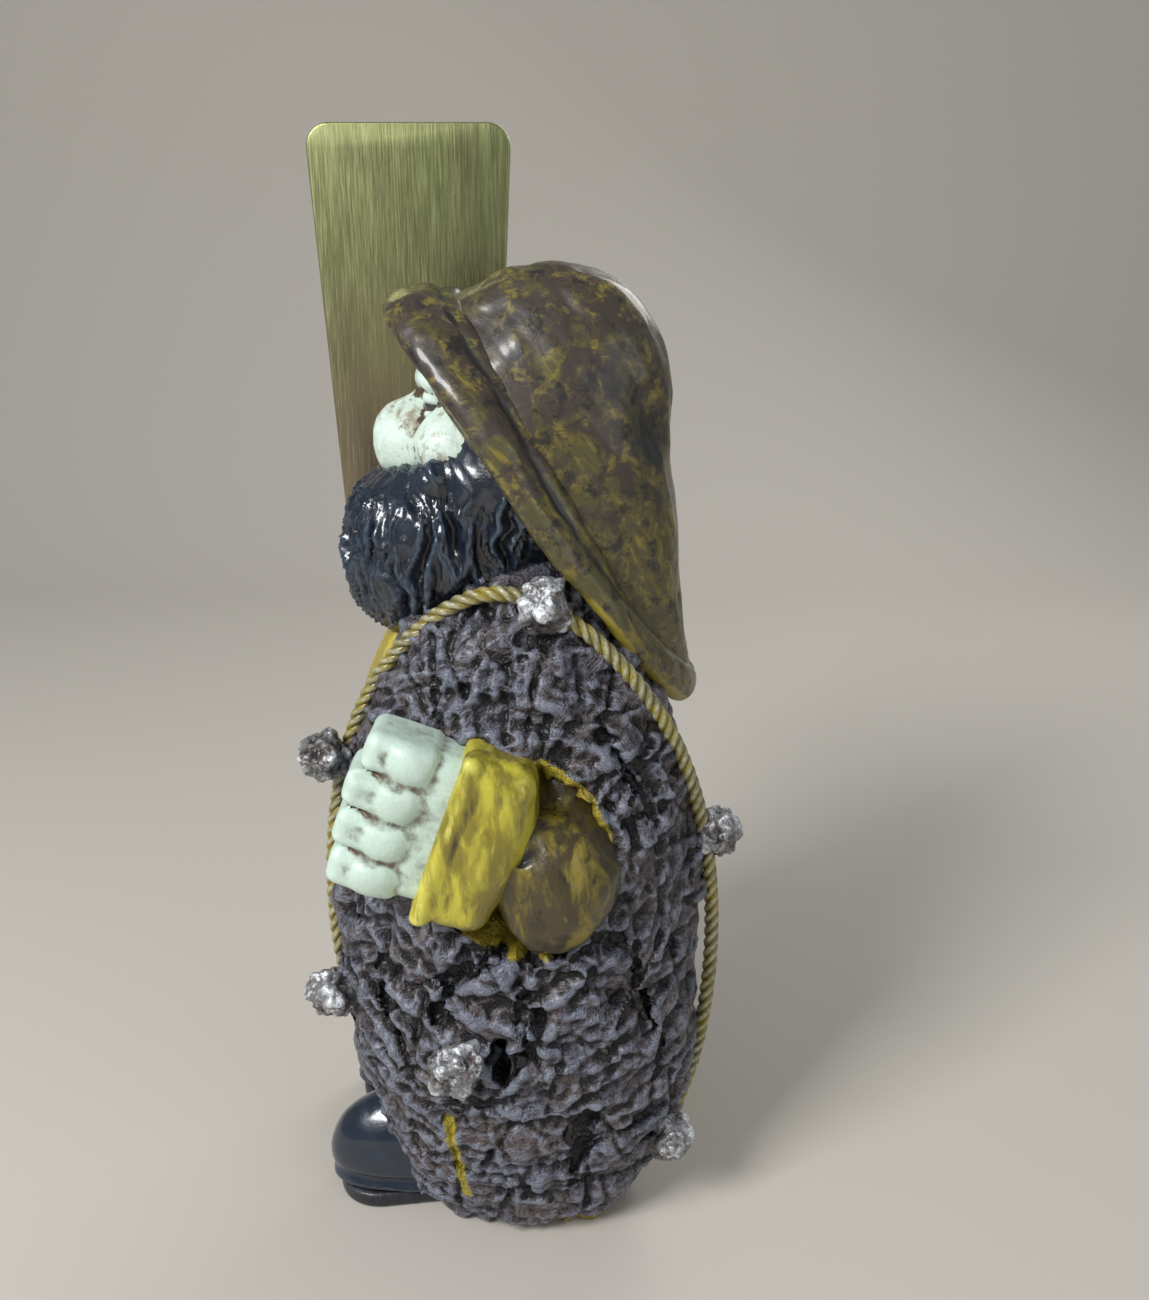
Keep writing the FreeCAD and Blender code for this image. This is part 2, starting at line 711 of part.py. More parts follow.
def make_net():
    """The net: a thick drape over the left side, closed against whatever it covers."""
    upper = ellipsoid("net_upper", "net_half_x", "net_half_y", "net_half_z")
    place(upper, "net_x", "net_y", "net_half_z")
    skirt = ellipsoid("net_skirt", "skirt_half_x", "net_half_y", "skirt_half_z")
    place(skirt, "skirt_x", "net_y", "skirt_z")
    behind = primitive("Box", "net_behind", Length="6 * net_half_x", Width="3 * net_half_y",
                       Height="4 * net_half_z")
    place(behind, "net_x - 3 * net_half_x", "net_y", "-net_half_z")
    under = primitive("Box", "net_under", Length="6 * net_half_x", Width="6 * net_half_y",
                      Height="net_half_z")
    place(under, "net_x - 3 * net_half_x", "net_y - 3 * net_half_y", "-net_half_z")
    drape = fuse("net_whole", [upper, skirt])
    arm = fuse("left_arm_whole", [uncut[f"left_{part}"] for part in ("sleeve", "cuff", "hand")])
    covered = [arm.Name, "coat", "left_trouser", "left_boot", "left_sole", "beard", "collar",
               "hat_brim", "float_line"]
    covered += [f"net_float_{number}" for number in range(1, len(FLOATS) + 1)]
    tools = [behind.Name, under.Name] + covered
    add_piece("net_drape", less(drape, tools, "net_drape"))


def check_document():
    """Stop if any object failed, or if any piece isn't a valid solid."""
    faults = [f"{obj.Name} failed: {obj.State}" for obj in doc.Objects
              if "Invalid" in obj.State or "Error" in obj.State]
    for name, obj in pieces.items():
        shape = obj.Shape
        if shape.isNull() or not shape.isValid() or not shape.Solids:
            faults.append(f"{name} has no valid solid")
    if faults:
        raise RuntimeError("; ".join(faults))


def write_pieces():
    """Write each piece's shape to its own STEP file."""
    os.makedirs("parts", exist_ok=True)
    for name, obj in pieces.items():
        obj.Shape.exportStep(f"parts/{name}.step")
        box = obj.Shape.BoundBox
        print(f"{name:16s} {len(obj.Shape.Solids)} solid {obj.Shape.Volume:9.1f} mm3",
              [round(v, 1) for v in (box.XMin, box.XMax, box.YMin, box.YMax, box.ZMin, box.ZMax)])


fill_sheet()
make_leg("left", -1)
make_leg("right", 1)
make_head()
make_hat()
make_beard()
make_coat()
make_float_line()
make_floats()
make_arms()
make_oar()
make_net()
doc.recompute()
check_document()
write_pieces()
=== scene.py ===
"""Souvenir bottle opener: the looks of a cast resin fisherman who holds a flat metal oar.

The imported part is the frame. Each sub-assembly below is a class whose fields are its sizes
in millimetres, modelled in the frame's axes: the fisherman faces -X, his left side is -Y.
"""
import itertools
import logging
import math
from collections.abc import Sequence
from dataclasses import dataclass
from enum import Enum

import bmesh
import bpy
import numpy as np
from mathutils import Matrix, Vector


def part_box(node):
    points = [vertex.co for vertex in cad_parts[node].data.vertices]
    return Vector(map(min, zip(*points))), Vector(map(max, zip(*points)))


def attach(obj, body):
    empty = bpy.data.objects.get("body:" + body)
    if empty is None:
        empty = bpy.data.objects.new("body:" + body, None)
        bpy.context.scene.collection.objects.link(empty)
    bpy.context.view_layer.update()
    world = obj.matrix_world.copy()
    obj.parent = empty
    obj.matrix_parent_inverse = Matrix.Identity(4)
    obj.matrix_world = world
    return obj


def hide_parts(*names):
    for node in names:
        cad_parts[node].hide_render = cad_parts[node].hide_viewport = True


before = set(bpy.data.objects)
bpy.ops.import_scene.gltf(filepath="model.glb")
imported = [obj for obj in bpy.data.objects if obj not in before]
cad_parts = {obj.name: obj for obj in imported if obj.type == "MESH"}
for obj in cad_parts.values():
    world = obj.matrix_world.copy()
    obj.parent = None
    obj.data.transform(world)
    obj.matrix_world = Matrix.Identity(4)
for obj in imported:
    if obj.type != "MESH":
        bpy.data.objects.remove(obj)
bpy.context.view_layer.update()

import openvdb
from mathutils import Vector

MM = 0.001
FAR = 10.0
LOG = logging.getLogger("fisherman_opener")

Array = np.ndarray
Colour = tuple[float, float, float]
Point = tuple[float, float, float]


class Side(Enum):
    """Which side of the fisherman a limb is on, as the sign of Y."""

    LEFT = -1
    RIGHT = 1

    @property
    def word(self) -> str:
        """The side's name as the node names have it."""
        return self.name.lower()


class Body(str, Enum):
    """The bodies that pieces ride on."""

    FIGURE = "figure"
    OAR = "oar"


# ---------------------------------------------------------------------------
# Modelling in clay: distance fields, and the skins made from them
# ---------------------------------------------------------------------------

@dataclass(frozen=True)
class Span:
    """The box of a CAD node at rest, in millimetres."""

    low: Array
    high: Array

    @classmethod
    def of(cls, node: str) -> "Span":
        """The span of a named node."""
        low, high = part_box(node)
        return cls(np.array(low) / MM, np.array(high) / MM)

    @property
    def centre(self) -> Array:
        """The middle of the box."""
        return (self.low + self.high) / 2

    @property
    def half(self) -> Array:
        """Half the box's size along each axis."""
        return (self.high - self.low) / 2


@dataclass(frozen=True)
class Lump:
    """An ellipsoid to press on or to carve out, placed from a middle."""

    place: Point
    half: Point
    blend: float = 0.0
    lean: float = 0.0


@dataclass(frozen=True)
class Bar:
    """A round-ended rod to press on or to carve out, placed from a middle."""

    start: Point
    end: Point
    radius: float
    end_radius: float
    blend: float = 0.0


def turn_about(axis: int, degrees: float) -> Array:
    """A turn about one axis.

    Args:
        axis: 0, 1 or 2 for X, Y or Z.
        degrees: the angle, right-handed.

    Returns:
        The matrix whose columns are the turned axes.
    """
    a, b = [(1, 2), (2, 0), (0, 1)][axis]
    c, s = math.cos(math.radians(degrees)), math.sin(math.radians(degrees))
    matrix = np.eye(3)
    matrix[a, a], matrix[a, b], matrix[b, a], matrix[b, b] = c, -s, s, c
    return matrix


def melt(a: Array, b: Array, blend: float) -> Array:
    """The union of two distance fields, rounded where they meet.

    Args:
        a: the first field.
        b: the second field.
        blend: how far the rounding reaches, 0 for a sharp edge.

    Returns:
        The joined field.
    """
    if blend <= 0:
        return np.minimum(a, b)
    share = np.clip(0.5 + 0.5 * (b - a) / blend, 0, 1)
    return b + (a - b) * share - blend * share * (1 - share)


def smooth_line(knots: Sequence[tuple[float, float]], at: Array) -> Array:
    """A smooth curve of one variable through a few knots.

    Args:
        knots: (position, value) pairs in order of position.
        at: where to read the curve.

    Returns:
        The values, held level past both ends.
    """
    x, y = np.array(knots, float).T
    slope = np.gradient(y, x)
    t = np.clip(at, x[0], x[-1])
    i = np.clip(np.searchsorted(x, t, side="right") - 1, 0, len(x) - 2)
    run = x[i + 1] - x[i]
    s = (t - x[i]) / run
    rise_in = slope[i] * run
    rise_out = slope[i + 1] * run
    return ((2 * s**3 - 3 * s**2 + 1) * y[i] + (s**3 - 2 * s**2 + s) * rise_in
            + (3 * s**2 - 2 * s**3) * y[i + 1] + (s**3 - s**2) * rise_out)


class Grain:
    """Seeded gradient noise in space, and what is made from it."""

    def __init__(self, seed: int) -> None:
        """Draw the lattice of slopes for one seed.

        Args:
            seed: which lattice to draw.
        """
        draw = np.random.default_rng(seed)
        self.order = np.tile(draw.permutation(256), 2)
        slopes = draw.normal(size=(256, 3))
        self.slopes = slopes / np.linalg.norm(slopes, axis=1, keepdims=True)

    def at(self, points: Array) -> Array:
        """Noise of about -1 to 1 at each point, with one lattice cell to a unit.

        Args:
            points: where to read it.

        Returns:
            One value for each point.
        """
        cell = np.floor(points).astype(np.int64)
        inside = points - cell
        fade = inside**3 * (inside * (inside * 6 - 15) + 10)
        total = np.zeros(len(points))
        for corner in itertools.product((0, 1), repeat=3):
            x, y, z = ((cell + corner) & 255).T
            slope = self.slopes[self.order[self.order[self.order[x] + y] + z]]
            weight = np.prod(np.where(np.array(corner, bool), fade, 1 - fade), axis=1)
            total += ((inside - corner) * slope).sum(axis=1) * weight
        return total * 1.7

    def layers(self, points: Array, size: float | Point, count: int = 3) -> Array:
        """Noise of about -1 to 1 at several scales, each half as large and as strong as the last."""
        spots = points / np.asarray(size, float)
        return sum(self.at(spots * 2**n + 17.3 * n) / 2**n for n in range(count))

    def ridges(self, points: Array, size: float | Point, count: int = 3) -> Array:
        """Noise with sharp crests, 0 in its valleys and about 1 along its crests.

        Args:
            points: where to read it, in millimetres.
            size: the width of its largest folds, or one width for each axis.
            count: how many scales, each half as large and half as strong as the last.

        Returns:
            Values of -1 to 1.
        """
        spots = points / np.asarray(size, float)
        crest = sum((1 - np.abs(self.at(spots * 2**n + 9.1 * n)) * 2) / 2**n
                    for n in range(count))
        return np.clip(crest / (2 - 0.5 ** (count - 1)), -1, 1)


class Clay:
    """A solid modelled on a grid of distances, in millimetres, and hardened to a closed mesh."""

    def __init__(self, low: Sequence[float], high: Sequence[float], step: float) -> None:
        """Lay out the grid.

        Args:
            low: the lowest corner that the solid reaches.
            high: the highest corner.
            step: the distance between grid points.
        """
        margin = 4 * step
        self.step = step
        self.low = np.asarray(low, float) - margin
        counts = np.ceil((np.asarray(high, float) + margin - self.low) / step).astype(int) + 1
        lines = [self.low[i] + step * np.arange(counts[i]) for i in range(3)]
        self.grid = np.meshgrid(*lines, indexing="ij", sparse=True)
        self.field = np.full(counts, FAR)

    def seen_from(self, centre: Sequence[float], turn: Array | None = None) -> list[Array]:
        """The grid's coordinates in a shape's own axes.

        Args:
            centre: the shape's middle.
            turn: its own axes, or none for the frame's.

        Returns:
            The three coordinates at each grid point.
        """
        moved = [line - spot for line, spot in zip(self.grid, centre)]
        if turn is None:
            return moved
        return [sum(turn[j, i] * moved[j] for j in range(3)) for i in range(3)]

    def egg(self, centre: Sequence[float], half: Sequence[float],
            turn: Array | None = None) -> Array:
        """The distance to an ellipsoid of three half sizes.

        Args:
            centre: its middle.
            half: its half sizes.
            turn: its own axes, or none for the frame's.

        Returns:
            The distance at each grid point, below 0 inside.
        """
        spots = self.seen_from(centre, turn)
        near = np.sqrt(sum((p / h) ** 2 for p, h in zip(spots, half)))
        far = np.sqrt(sum((p / h**2) ** 2 for p, h in zip(spots, half)))
        return near * (near - 1) / np.maximum(far, 1e-6)

    def rod(self, start: Sequence[float], end: Sequence[float], radius: float,
            end_radius: float | None = None) -> Array:
        """The distance to a round-ended rod, which may taper.

        Args:
            start: the middle of its first end.
            end: the middle of its other end.
            radius: its radius at the start.
            end_radius: its radius at the end, or none for the same.

        Returns:
            The distance at each grid point, below 0 inside.
        """
        start, end = np.asarray(start, float), np.asarray(end, float)
        axis = end - start
        moved = [line - spot for line, spot in zip(self.grid, start)]
        along = np.clip(sum(m * a for m, a in zip(moved, axis)) / (axis @ axis), 0, 1)
        gap = np.sqrt(sum((m - along * a) ** 2 for m, a in zip(moved, axis)))
        end_radius = radius if end_radius is None else end_radius
        return gap - radius - (end_radius - radius) * along

    def block(self, centre: Sequence[float], half: Sequence[float], rounding: float,
              turn: Array | None = None) -> Array:
        """The distance to a box with all its edges rounded.

        Args:
            centre: its middle.
            half: its half sizes.
            rounding: the radius of its edges.
            turn: its own axes, or none for the frame's.

        Returns:
            The distance at each grid point, below 0 inside.
        """
        spots = self.seen_from(centre, turn)
        over = [np.abs(p) - (h - rounding) for p, h in zip(spots, half)]
        outside = np.sqrt(sum(np.maximum(o, 0) ** 2 for o in over))
        inside = np.minimum(np.maximum(np.maximum(over[0], over[1]), over[2]), 0)
        return outside + inside - rounding

    def slab(self, centre: Sequence[float], half: Sequence[float], corner: float,
             edge: float, turn: Array | None = None) -> Array:
        """The distance to an upright plate with large corners in plan and small edges.

        Args:
            centre: its middle.
            half: its half sizes.
            corner: the radius of its corners in plan.
            edge: the radius of its rims.
            turn: its own axes, or none for the frame's.

        Returns:
            The distance at each grid point, below 0 inside.
        """
        x, y, z = self.seen_from(centre, turn)
        over = [np.abs(x) - (half[0] - corner), np.abs(y) - (half[1] - corner)]
        plan = (np.sqrt(np.maximum(over[0], 0) ** 2 + np.maximum(over[1], 0) ** 2)
                + np.minimum(np.maximum(over[0], over[1]), 0) - corner + edge)
        rise = np.abs(z) - half[2] + edge
        return (np.sqrt(np.maximum(plan, 0) ** 2 + np.maximum(rise, 0) ** 2)
                + np.minimum(np.maximum(plan, rise), 0) - edge)

    def ring(self, centre: Sequence[float], radius: float, half_thick: float,
             half_high: float, turn: Array | None = None) -> Array:
        """The distance to a ring of oval section about its own Z axis.

        Args:
            centre: its middle.
            radius: from its axis to the middle of its section.
            half_thick: half the width of its section.
            half_high: half the height of its section.
            turn: its own axes, or none for the frame's.

        Returns:
            The distance at each grid point, below 0 inside.
        """
        x, y, z = self.seen_from(centre, turn)
        out = np.sqrt(x**2 + y**2) - radius
        near = np.sqrt((out / half_thick) ** 2 + (z / half_high) ** 2)
        return (near - 1) * min(half_thick, half_high)

    def implicit(self, value: Array) -> Array:
        """The distance to where a smooth value is zero, inside where it is below."""
        slope = np.sqrt(sum(g**2 for g in np.gradient(value, self.step)))
        return value / np.maximum(slope, 1e-3)

    def add(self, distance: Array, blend: float = 0.0) -> "Clay":
        """Press a shape on to the solid."""
        self.field = melt(self.field, distance, blend)
        return self

    def cut(self, distance: Array, blend: float = 0.0) -> "Clay":
        """Carve a shape out of the solid."""
        self.field = -melt(-self.field, distance, blend)
        return self

    def keep(self, distance: Array, blend: float = 0.0) -> "Clay":
        """Keep only what lies inside a shape."""
        self.field = -melt(-self.field, -distance, blend)
        return self

    def form(self, shape: Lump | Bar, origin: Sequence[float], side: float = 1.0,
             turn: Array | None = None) -> Array:
        """The distance to a lump or a bar.

        Args:
            shape: its sizes, in its own axes.
            origin: the middle that its places are counted from.
            side: 1 or -1, to mirror it across the figure.
            turn: its own axes, or none for the frame's.

        Returns:
            The distance at each grid point.
        """
        def placed(spot: Point) -> Array:
            """A place of the shape in the frame."""
            offset = np.array([spot[0], spot[1] * side, spot[2]])
            return np.asarray(origin, float) + (offset if turn is None else turn @ offset)

        if isinstance(shape, Bar):
            return self.rod(placed(shape.start), placed(shape.end), shape.radius, shape.end_radius)
        own = turn_about(1, shape.lean) if shape.lean else turn
        return self.egg(placed(shape.place), shape.half, own)

    def press(self, shape: Lump | Bar, origin: Sequence[float], side: float = 1.0,
              turn: Array | None = None) -> "Clay":
        """Press a lump or a bar on to the solid; the arguments are those of form."""
        return self.add(self.form(shape, origin, side, turn), shape.blend)

    def carve(self, shape: Lump | Bar, origin: Sequence[float], side: float = 1.0,
              turn: Array | None = None) -> "Clay":
        """Carve a lump or a bar out of the solid; the arguments are those of form."""
        return self.cut(self.form(shape, origin, side, turn), shape.blend)

    def harden(self) -> "Skin":
        """Make the closed mesh of the solid's surface.

        Returns:
            The skin.
        """
        grid = openvdb.FloatGrid()
        grid.background = FAR
        grid.copyFromArray(np.clip(self.field, -FAR, FAR).astype(np.float32))
        grid.transform = openvdb.createLinearTransform(self.step)
        points, quads = grid.convertToQuads(0.0)
        return Skin(points.astype(float) + self.low, quads.astype(np.int64))


class Skin:
    """A closed mesh of quads, held as numbers while its surface is worked."""

    def __init__(self, points: Array, quads: Array) -> None:
        """Keep the points, and who neighbours whom.

        Args:
            points: the places of the points, in millimetres.
            quads: the four points of each face.
        """
        self.points = points
        self.quads = quads
        self.sources = np.concatenate([quads[:, i] for i in range(4)])
        self.targets = np.concatenate([quads[:, (i + 1) % 4] for i in range(4)])
        self.marks: dict[str, Array] = {}

    def normals(self) -> Array:
        """The outward direction at each point.

        Returns:
            One unit direction for each point.
        """
        a, b, c, d = (self.points[self.quads[:, i]] for i in range(4))
        across = np.cross(c - a, d - b)
        total = np.zeros_like(self.points)
        for i, axis in itertools.product(range(4), range(3)):
            total[:, axis] += np.bincount(self.quads[:, i], across[:, axis], len(total))
        return total / np.maximum(np.linalg.norm(total, axis=1, keepdims=True), 1e-12)

    def evened(self, values: Array, rounds: int) -> Array:
        """Values averaged with their neighbours a number of times.

        Args:
            values: one value or one row for each point.
            rounds: how many times.

        Returns:
            The evened values, in the same shape.
        """
        table = values.reshape(len(self.points), -1)
        share = np.maximum(np.bincount(self.targets, minlength=len(table)), 1)
        for _ in range(rounds):
            means = [np.bincount(self.targets, table[self.sources, k], len(table)) / share
                     for k in range(table.shape[1])]
            table = (table + np.stack(means, axis=1)) / 2
        return table.reshape(values.shape)

    def push(self, amount: Array) -> "Skin":
        """Move each point outwards by its own amount."""
        self.points = self.points + self.normals() * amount[:, None]
        return self

    def mark(self, name: str, values: Array) -> "Skin":
        """Keep a value of 0 to 1 at each point for a material to read."""
        self.marks[name] = np.clip(values, 0, 1)
        return self

    def mark_hollows(self, depth: float, rounds: int = 8) -> "Skin":
        """Mark hollows above 0.5 and crests below it, to a depth below the evened surface."""
        below = ((self.evened(self.points, rounds) - self.points) * self.normals()).sum(axis=1)
        return self.mark("hollow", 0.5 + 0.5 * self.evened(below, 1) / depth)

    def carried(self, origin: Array, turn: Array) -> "Skin":
        """Carry the mesh from its own axes into the frame's."""
        self.points = self.points @ turn.T + origin
        return self

    def build(self, name: str, material: bpy.types.Material) -> bpy.types.Object:
        """Make the piece's object, at the origin, with its place in its mesh.

        Args:
            name: the piece's name.
            material: its finish.

        Returns:
            The object.
        """
        mesh = bpy.data.meshes.new(name)
        mesh.vertices.add(len(self.points))
        mesh.vertices.foreach_set("co", (self.points * MM).ravel())
        mesh.loops.add(self.quads.size)
        mesh.loops.foreach_set("vertex_index", self.quads.ravel())
        mesh.polygons.add(len(self.quads))
        mesh.polygons.foreach_set("loop_start", np.arange(0, self.quads.size, 4))
        mesh.update(calc_edges=True)
        mesh.shade_smooth()
        for mark, values in self.marks.items():
            mesh.attributes.new(mark, "FLOAT", "POINT").data.foreach_set("value", values)
        mesh.materials.append(material)
        return link(bpy.data.objects.new(name, mesh))


def link(obj: bpy.types.Object) -> bpy.types.Object:
    """Put an object into the scene."""
    bpy.context.scene.collection.objects.link(obj)
    return obj


def settle(obj: bpy.types.Object, slot: str, *nodes: str, body: Body = Body.FIGURE) -> None:
    """Fix a finished piece to its body and report it.

    Args:
        obj: the piece.
        slot: the record's material slot; not used.
        nodes: the CAD nodes that it stands for.
        body: the body that it rides on.
    """
    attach(obj, body.value)
    if nodes:
        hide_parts(*nodes)
    LOG.info("%s: %d faces", obj.name, len(obj.data.polygons))


# ---------------------------------------------------------------------------
# Finishes
# ---------------------------------------------------------------------------

Socket = bpy.types.NodeSocket


class Recipe:
    """A material's nodes while they are laid out. Its lengths are in millimetres."""

    def __init__(self, name: str) -> None:
        """Start a material whose coordinates are the object's own.

        Args:
            name: the material's name.
        """
        self.material = bpy.data.materials.new(name)
        self.material.use_nodes = True
        self.tree = self.material.node_tree
        self.shader = self.tree.nodes["Principled BSDF"]
        source = self.tree.nodes.new("ShaderNodeTexCoord")
        self.place = self.stretched((1 / MM,) * 3, (0, 0, 0), source.outputs["Object"])

    def stretched(self, scale: Sequence[float], turn: Sequence[float] = (0, 0, 0),
                  place: Socket | None = None) -> Socket:
        """Coordinates scaled along each axis after a turn, in degrees.

        Args:
            scale: how much finer along each axis.
            turn: the angles about the three axes.
            place: the coordinates to start from, or none for the object's.

        Returns:
            The new coordinates.
        """
        node = self.tree.nodes.new("ShaderNodeMapping")
        node.vector_type = "TEXTURE" if any(turn) else "POINT"
        node.inputs["Scale"].default_value = tuple(
            1 / s for s in scale) if any(turn) else tuple(scale)
        node.inputs["Rotation"].default_value = [math.radians(a) for a in turn]
        self.tree.links.new(node.inputs["Vector"], place or self.place)
        return node.outputs[0]

    def noise(self, size: float, detail: float = 3.0, rough: float = 0.5,
              warp: float = 0.0, place: Socket | None = None) -> Socket:
        """Soft noise of 0 to 1 whose blotches have a given size.

        Args:
            size: the width of its largest blotches, in millimetres.
            detail: how many finer scales it has.
            rough: how strong the finer scales are.
            warp: how much it is drawn out of shape.
            place: the coordinates to read it at, or none for the object's.

        Returns:
            The noise.
        """
        node = self.tree.nodes.new("ShaderNodeTexNoise")
        node.inputs["Scale"].default_value = 1 / size
        node.inputs["Detail"].default_value = detail
        node.inputs["Roughness"].default_value = rough
        node.inputs["Distortion"].default_value = warp
        self.tree.links.new(node.inputs["Vector"], place or self.place)
        return node.outputs[0]

    def crests(self, size: float, sharp: float, turn: Sequence[float]) -> Socket:
        """Thin crest lines of 0 to 1 that run mostly one way, in degrees from upright.

        Args:
            size: the distance between them, in millimetres.
            sharp: how far a crest reaches; smaller is sharper.
            turn: the angles about the three axes.

        Returns:
            The crests, 1 along the middle of each.
        """
        long_way = self.stretched((1.0, 1.0, 0.16), turn)
        middle = self.reckon("SUBTRACT", self.noise(size, 2.0, 0.5, 0.2, long_way), 0.5)
        return self.rise(self.reckon("ABSOLUTE", middle), 0.0, sharp, 1.0, 0.0)

    def mark(self, name: str) -> Socket:
        """A value kept on the mesh's points.

        Args:
            name: the mark that was set on the skin.

        Returns:
            Its value.
        """
        node = self.tree.nodes.new("ShaderNodeAttribute")
        node.attribute_name = name
        return node.outputs["Fac"]

    def axis(self, letter: str) -> Socket:
        """One coordinate of the object, in millimetres.

        Args:
            letter: X, Y or Z.

        Returns:
            Its value.
        """
        node = self.tree.nodes.new("ShaderNodeSeparateXYZ")
        self.tree.links.new(node.inputs[0], self.place)
        return node.outputs[letter]

    def reckon(self, work: str, a: Socket | float, b: Socket | float = 0.0,
               c: Socket | float = 0.0) -> Socket:
        """One step of arithmetic on sockets or numbers.

        Args:
            work: the step's name in Blender.
            a: the first value.
            b: the second value.
            c: the third value, where the step has one.

        Returns:
            The result.
        """
        node = self.tree.nodes.new("ShaderNodeMath")
        node.operation = work
        for slot, value in zip(node.inputs, (a, b, c)):
            self.feed(slot, value)
        return node.outputs[0]

    def feed(self, slot: Socket, value: Socket | float | Sequence[float]) -> None:
        """Link a socket, or set a number or a colour on it.

        Args:
            slot: the input.
            value: what it takes.
        """
        if isinstance(value, bpy.types.NodeSocket):
            self.tree.links.new(slot, value)
        elif isinstance(value, (int, float)):
            slot.default_value = value
        else:
            slot.default_value = (*value, 1.0)

    def rise(self, value: Socket, low: float, high: float,
             to_low: float = 0.0, to_high: float = 1.0) -> Socket:
        """A value that climbs smoothly between two limits, and holds past them.

        Args:
            value: what is read.
            low: where the climb starts.
            high: where it ends; below low, it falls instead.
            to_low: the result at low.
            to_high: the result at high.

        Returns:
            The result.
        """
        node = self.tree.nodes.new("ShaderNodeMapRange")
        node.interpolation_type = "SMOOTHSTEP"
        self.tree.links.new(node.inputs["Value"], value)
        for slot, number in zip(("From Min", "From Max", "To Min", "To Max"),
                                (low, high, to_low, to_high)):
            node.inputs[slot].default_value = number
        return node.outputs[0]

    def mix(self, share: Socket | float, a: Socket | Colour, b: Socket | Colour) -> Socket:
        """Two colours mixed by a share of the second.

        Args:
            share: 0 for the first, 1 for the second.
            a: the first colour.
            b: the second colour.

        Returns:
            The mixed colour.
        """
        node = self.tree.nodes.new("ShaderNodeMix")
        node.data_type = "RGBA"
        for slot, value in ((0, share), (6, a), (7, b)):
            self.feed(node.inputs[slot], value)
        return node.outputs[2]

    def relief(self, height: Socket, depth: float, under: Socket | None = None) -> Socket:
        """A bump of a given depth, on top of another bump or alone.

        Args:
            height: the pattern, 0 to 1.
            depth: the height of 1, in millimetres.
            under: the bump below it.

        Returns:
            The bent normal.
        """
        node = self.tree.nodes.new("ShaderNodeBump")
        node.inputs["Distance"].default_value = depth * MM
        self.tree.links.new(node.inputs["Height"], height)
        if under is not None:
            self.tree.links.new(node.inputs["Normal"], under)
        return node.outputs[0]

    def set(self, **values: Socket | float | Sequence[float]) -> "Recipe":
        """Set the shader's inputs by name, with _ for a space.

        Args:
            values: each input and what it takes.

        Returns:
            This recipe.
        """
        for name, value in values.items():
            self.feed(self.shader.inputs[name.replace("_", " ")], value)
        return self


@dataclass(frozen=True)
class CastPaint:
    """Brushed paint on cast resin: a dark wash lies in the hollows and rubbing lightens the crests; on
    glossy pieces that light crest colour is a painted highlight.
    """

    name: str
    base: Colour
    blotch: Colour
    wash: Colour
    # Light colour on the crests: paint lightened by rubbing, and on glossy pieces a painted highlight.
    rubbed_and_highlight: Colour
    blotch_size: float = 6.0
    blotch_from: float = 0.5
    wash_from: float = 0.55
    wash_to: float = 0.8
    rub_and_highlight_from: float = 0.42
    rub_and_highlight_to: float = 0.2
    patchy: float = 0.35
    streak: Point = (1.0, 1.0, 1.0)
    roughness: float = 0.4
    roughness_spread: float = 0.15
    coat: float = 0.3
    coat_roughness: float = 0.15
    pit_size: float = 0.6
    pit_depth: float = 0.12
    metallic: float = 0.0

    def material(self) -> bpy.types.Material:
        """The finished material.

        Returns:
            The material.
        """
        r = Recipe(self.name)
        streaked = r.stretched(self.streak)
        cloud = r.noise(self.blotch_size, 5, 0.6, 0.6, streaked)
        colour = r.mix(r.rise(cloud, self.blotch_from - 0.08, self.blotch_from + 0.1),
                       self.base, self.blotch)
        fine = r.noise(self.blotch_size / 5, 4, 0.65, 0.3, streaked)
        uneven = r.reckon("MULTIPLY_ADD", fine, self.patchy, -self.patchy / 2)
        wear_and_painted_light = r.reckon("ADD", r.mark("hollow"), uneven)
        colour = r.mix(r.rise(wear_and_painted_light, self.wash_from, self.wash_to), colour, self.wash)
        # Crests take the light colour, partly paint lightened by rubbing and partly a painted highlight.
        colour = r.mix(r.rise(wear_and_painted_light, self.rub_and_highlight_from, self.rub_and_highlight_to), colour, self.rubbed_and_highlight)
        speck = r.noise(self.pit_size, 4, 0.6)
        low, spread = self.roughness, self.roughness_spread
        r.set(Base_Color=colour, Roughness=r.rise(cloud, 0.35, 0.65, low - spread / 2,
                                                  low + spread),
              Coat_Weight=self.coat, Coat_Roughness=self.coat_roughness,
              Metallic=self.metallic, Normal=r.relief(speck, self.pit_depth))
        return r.material


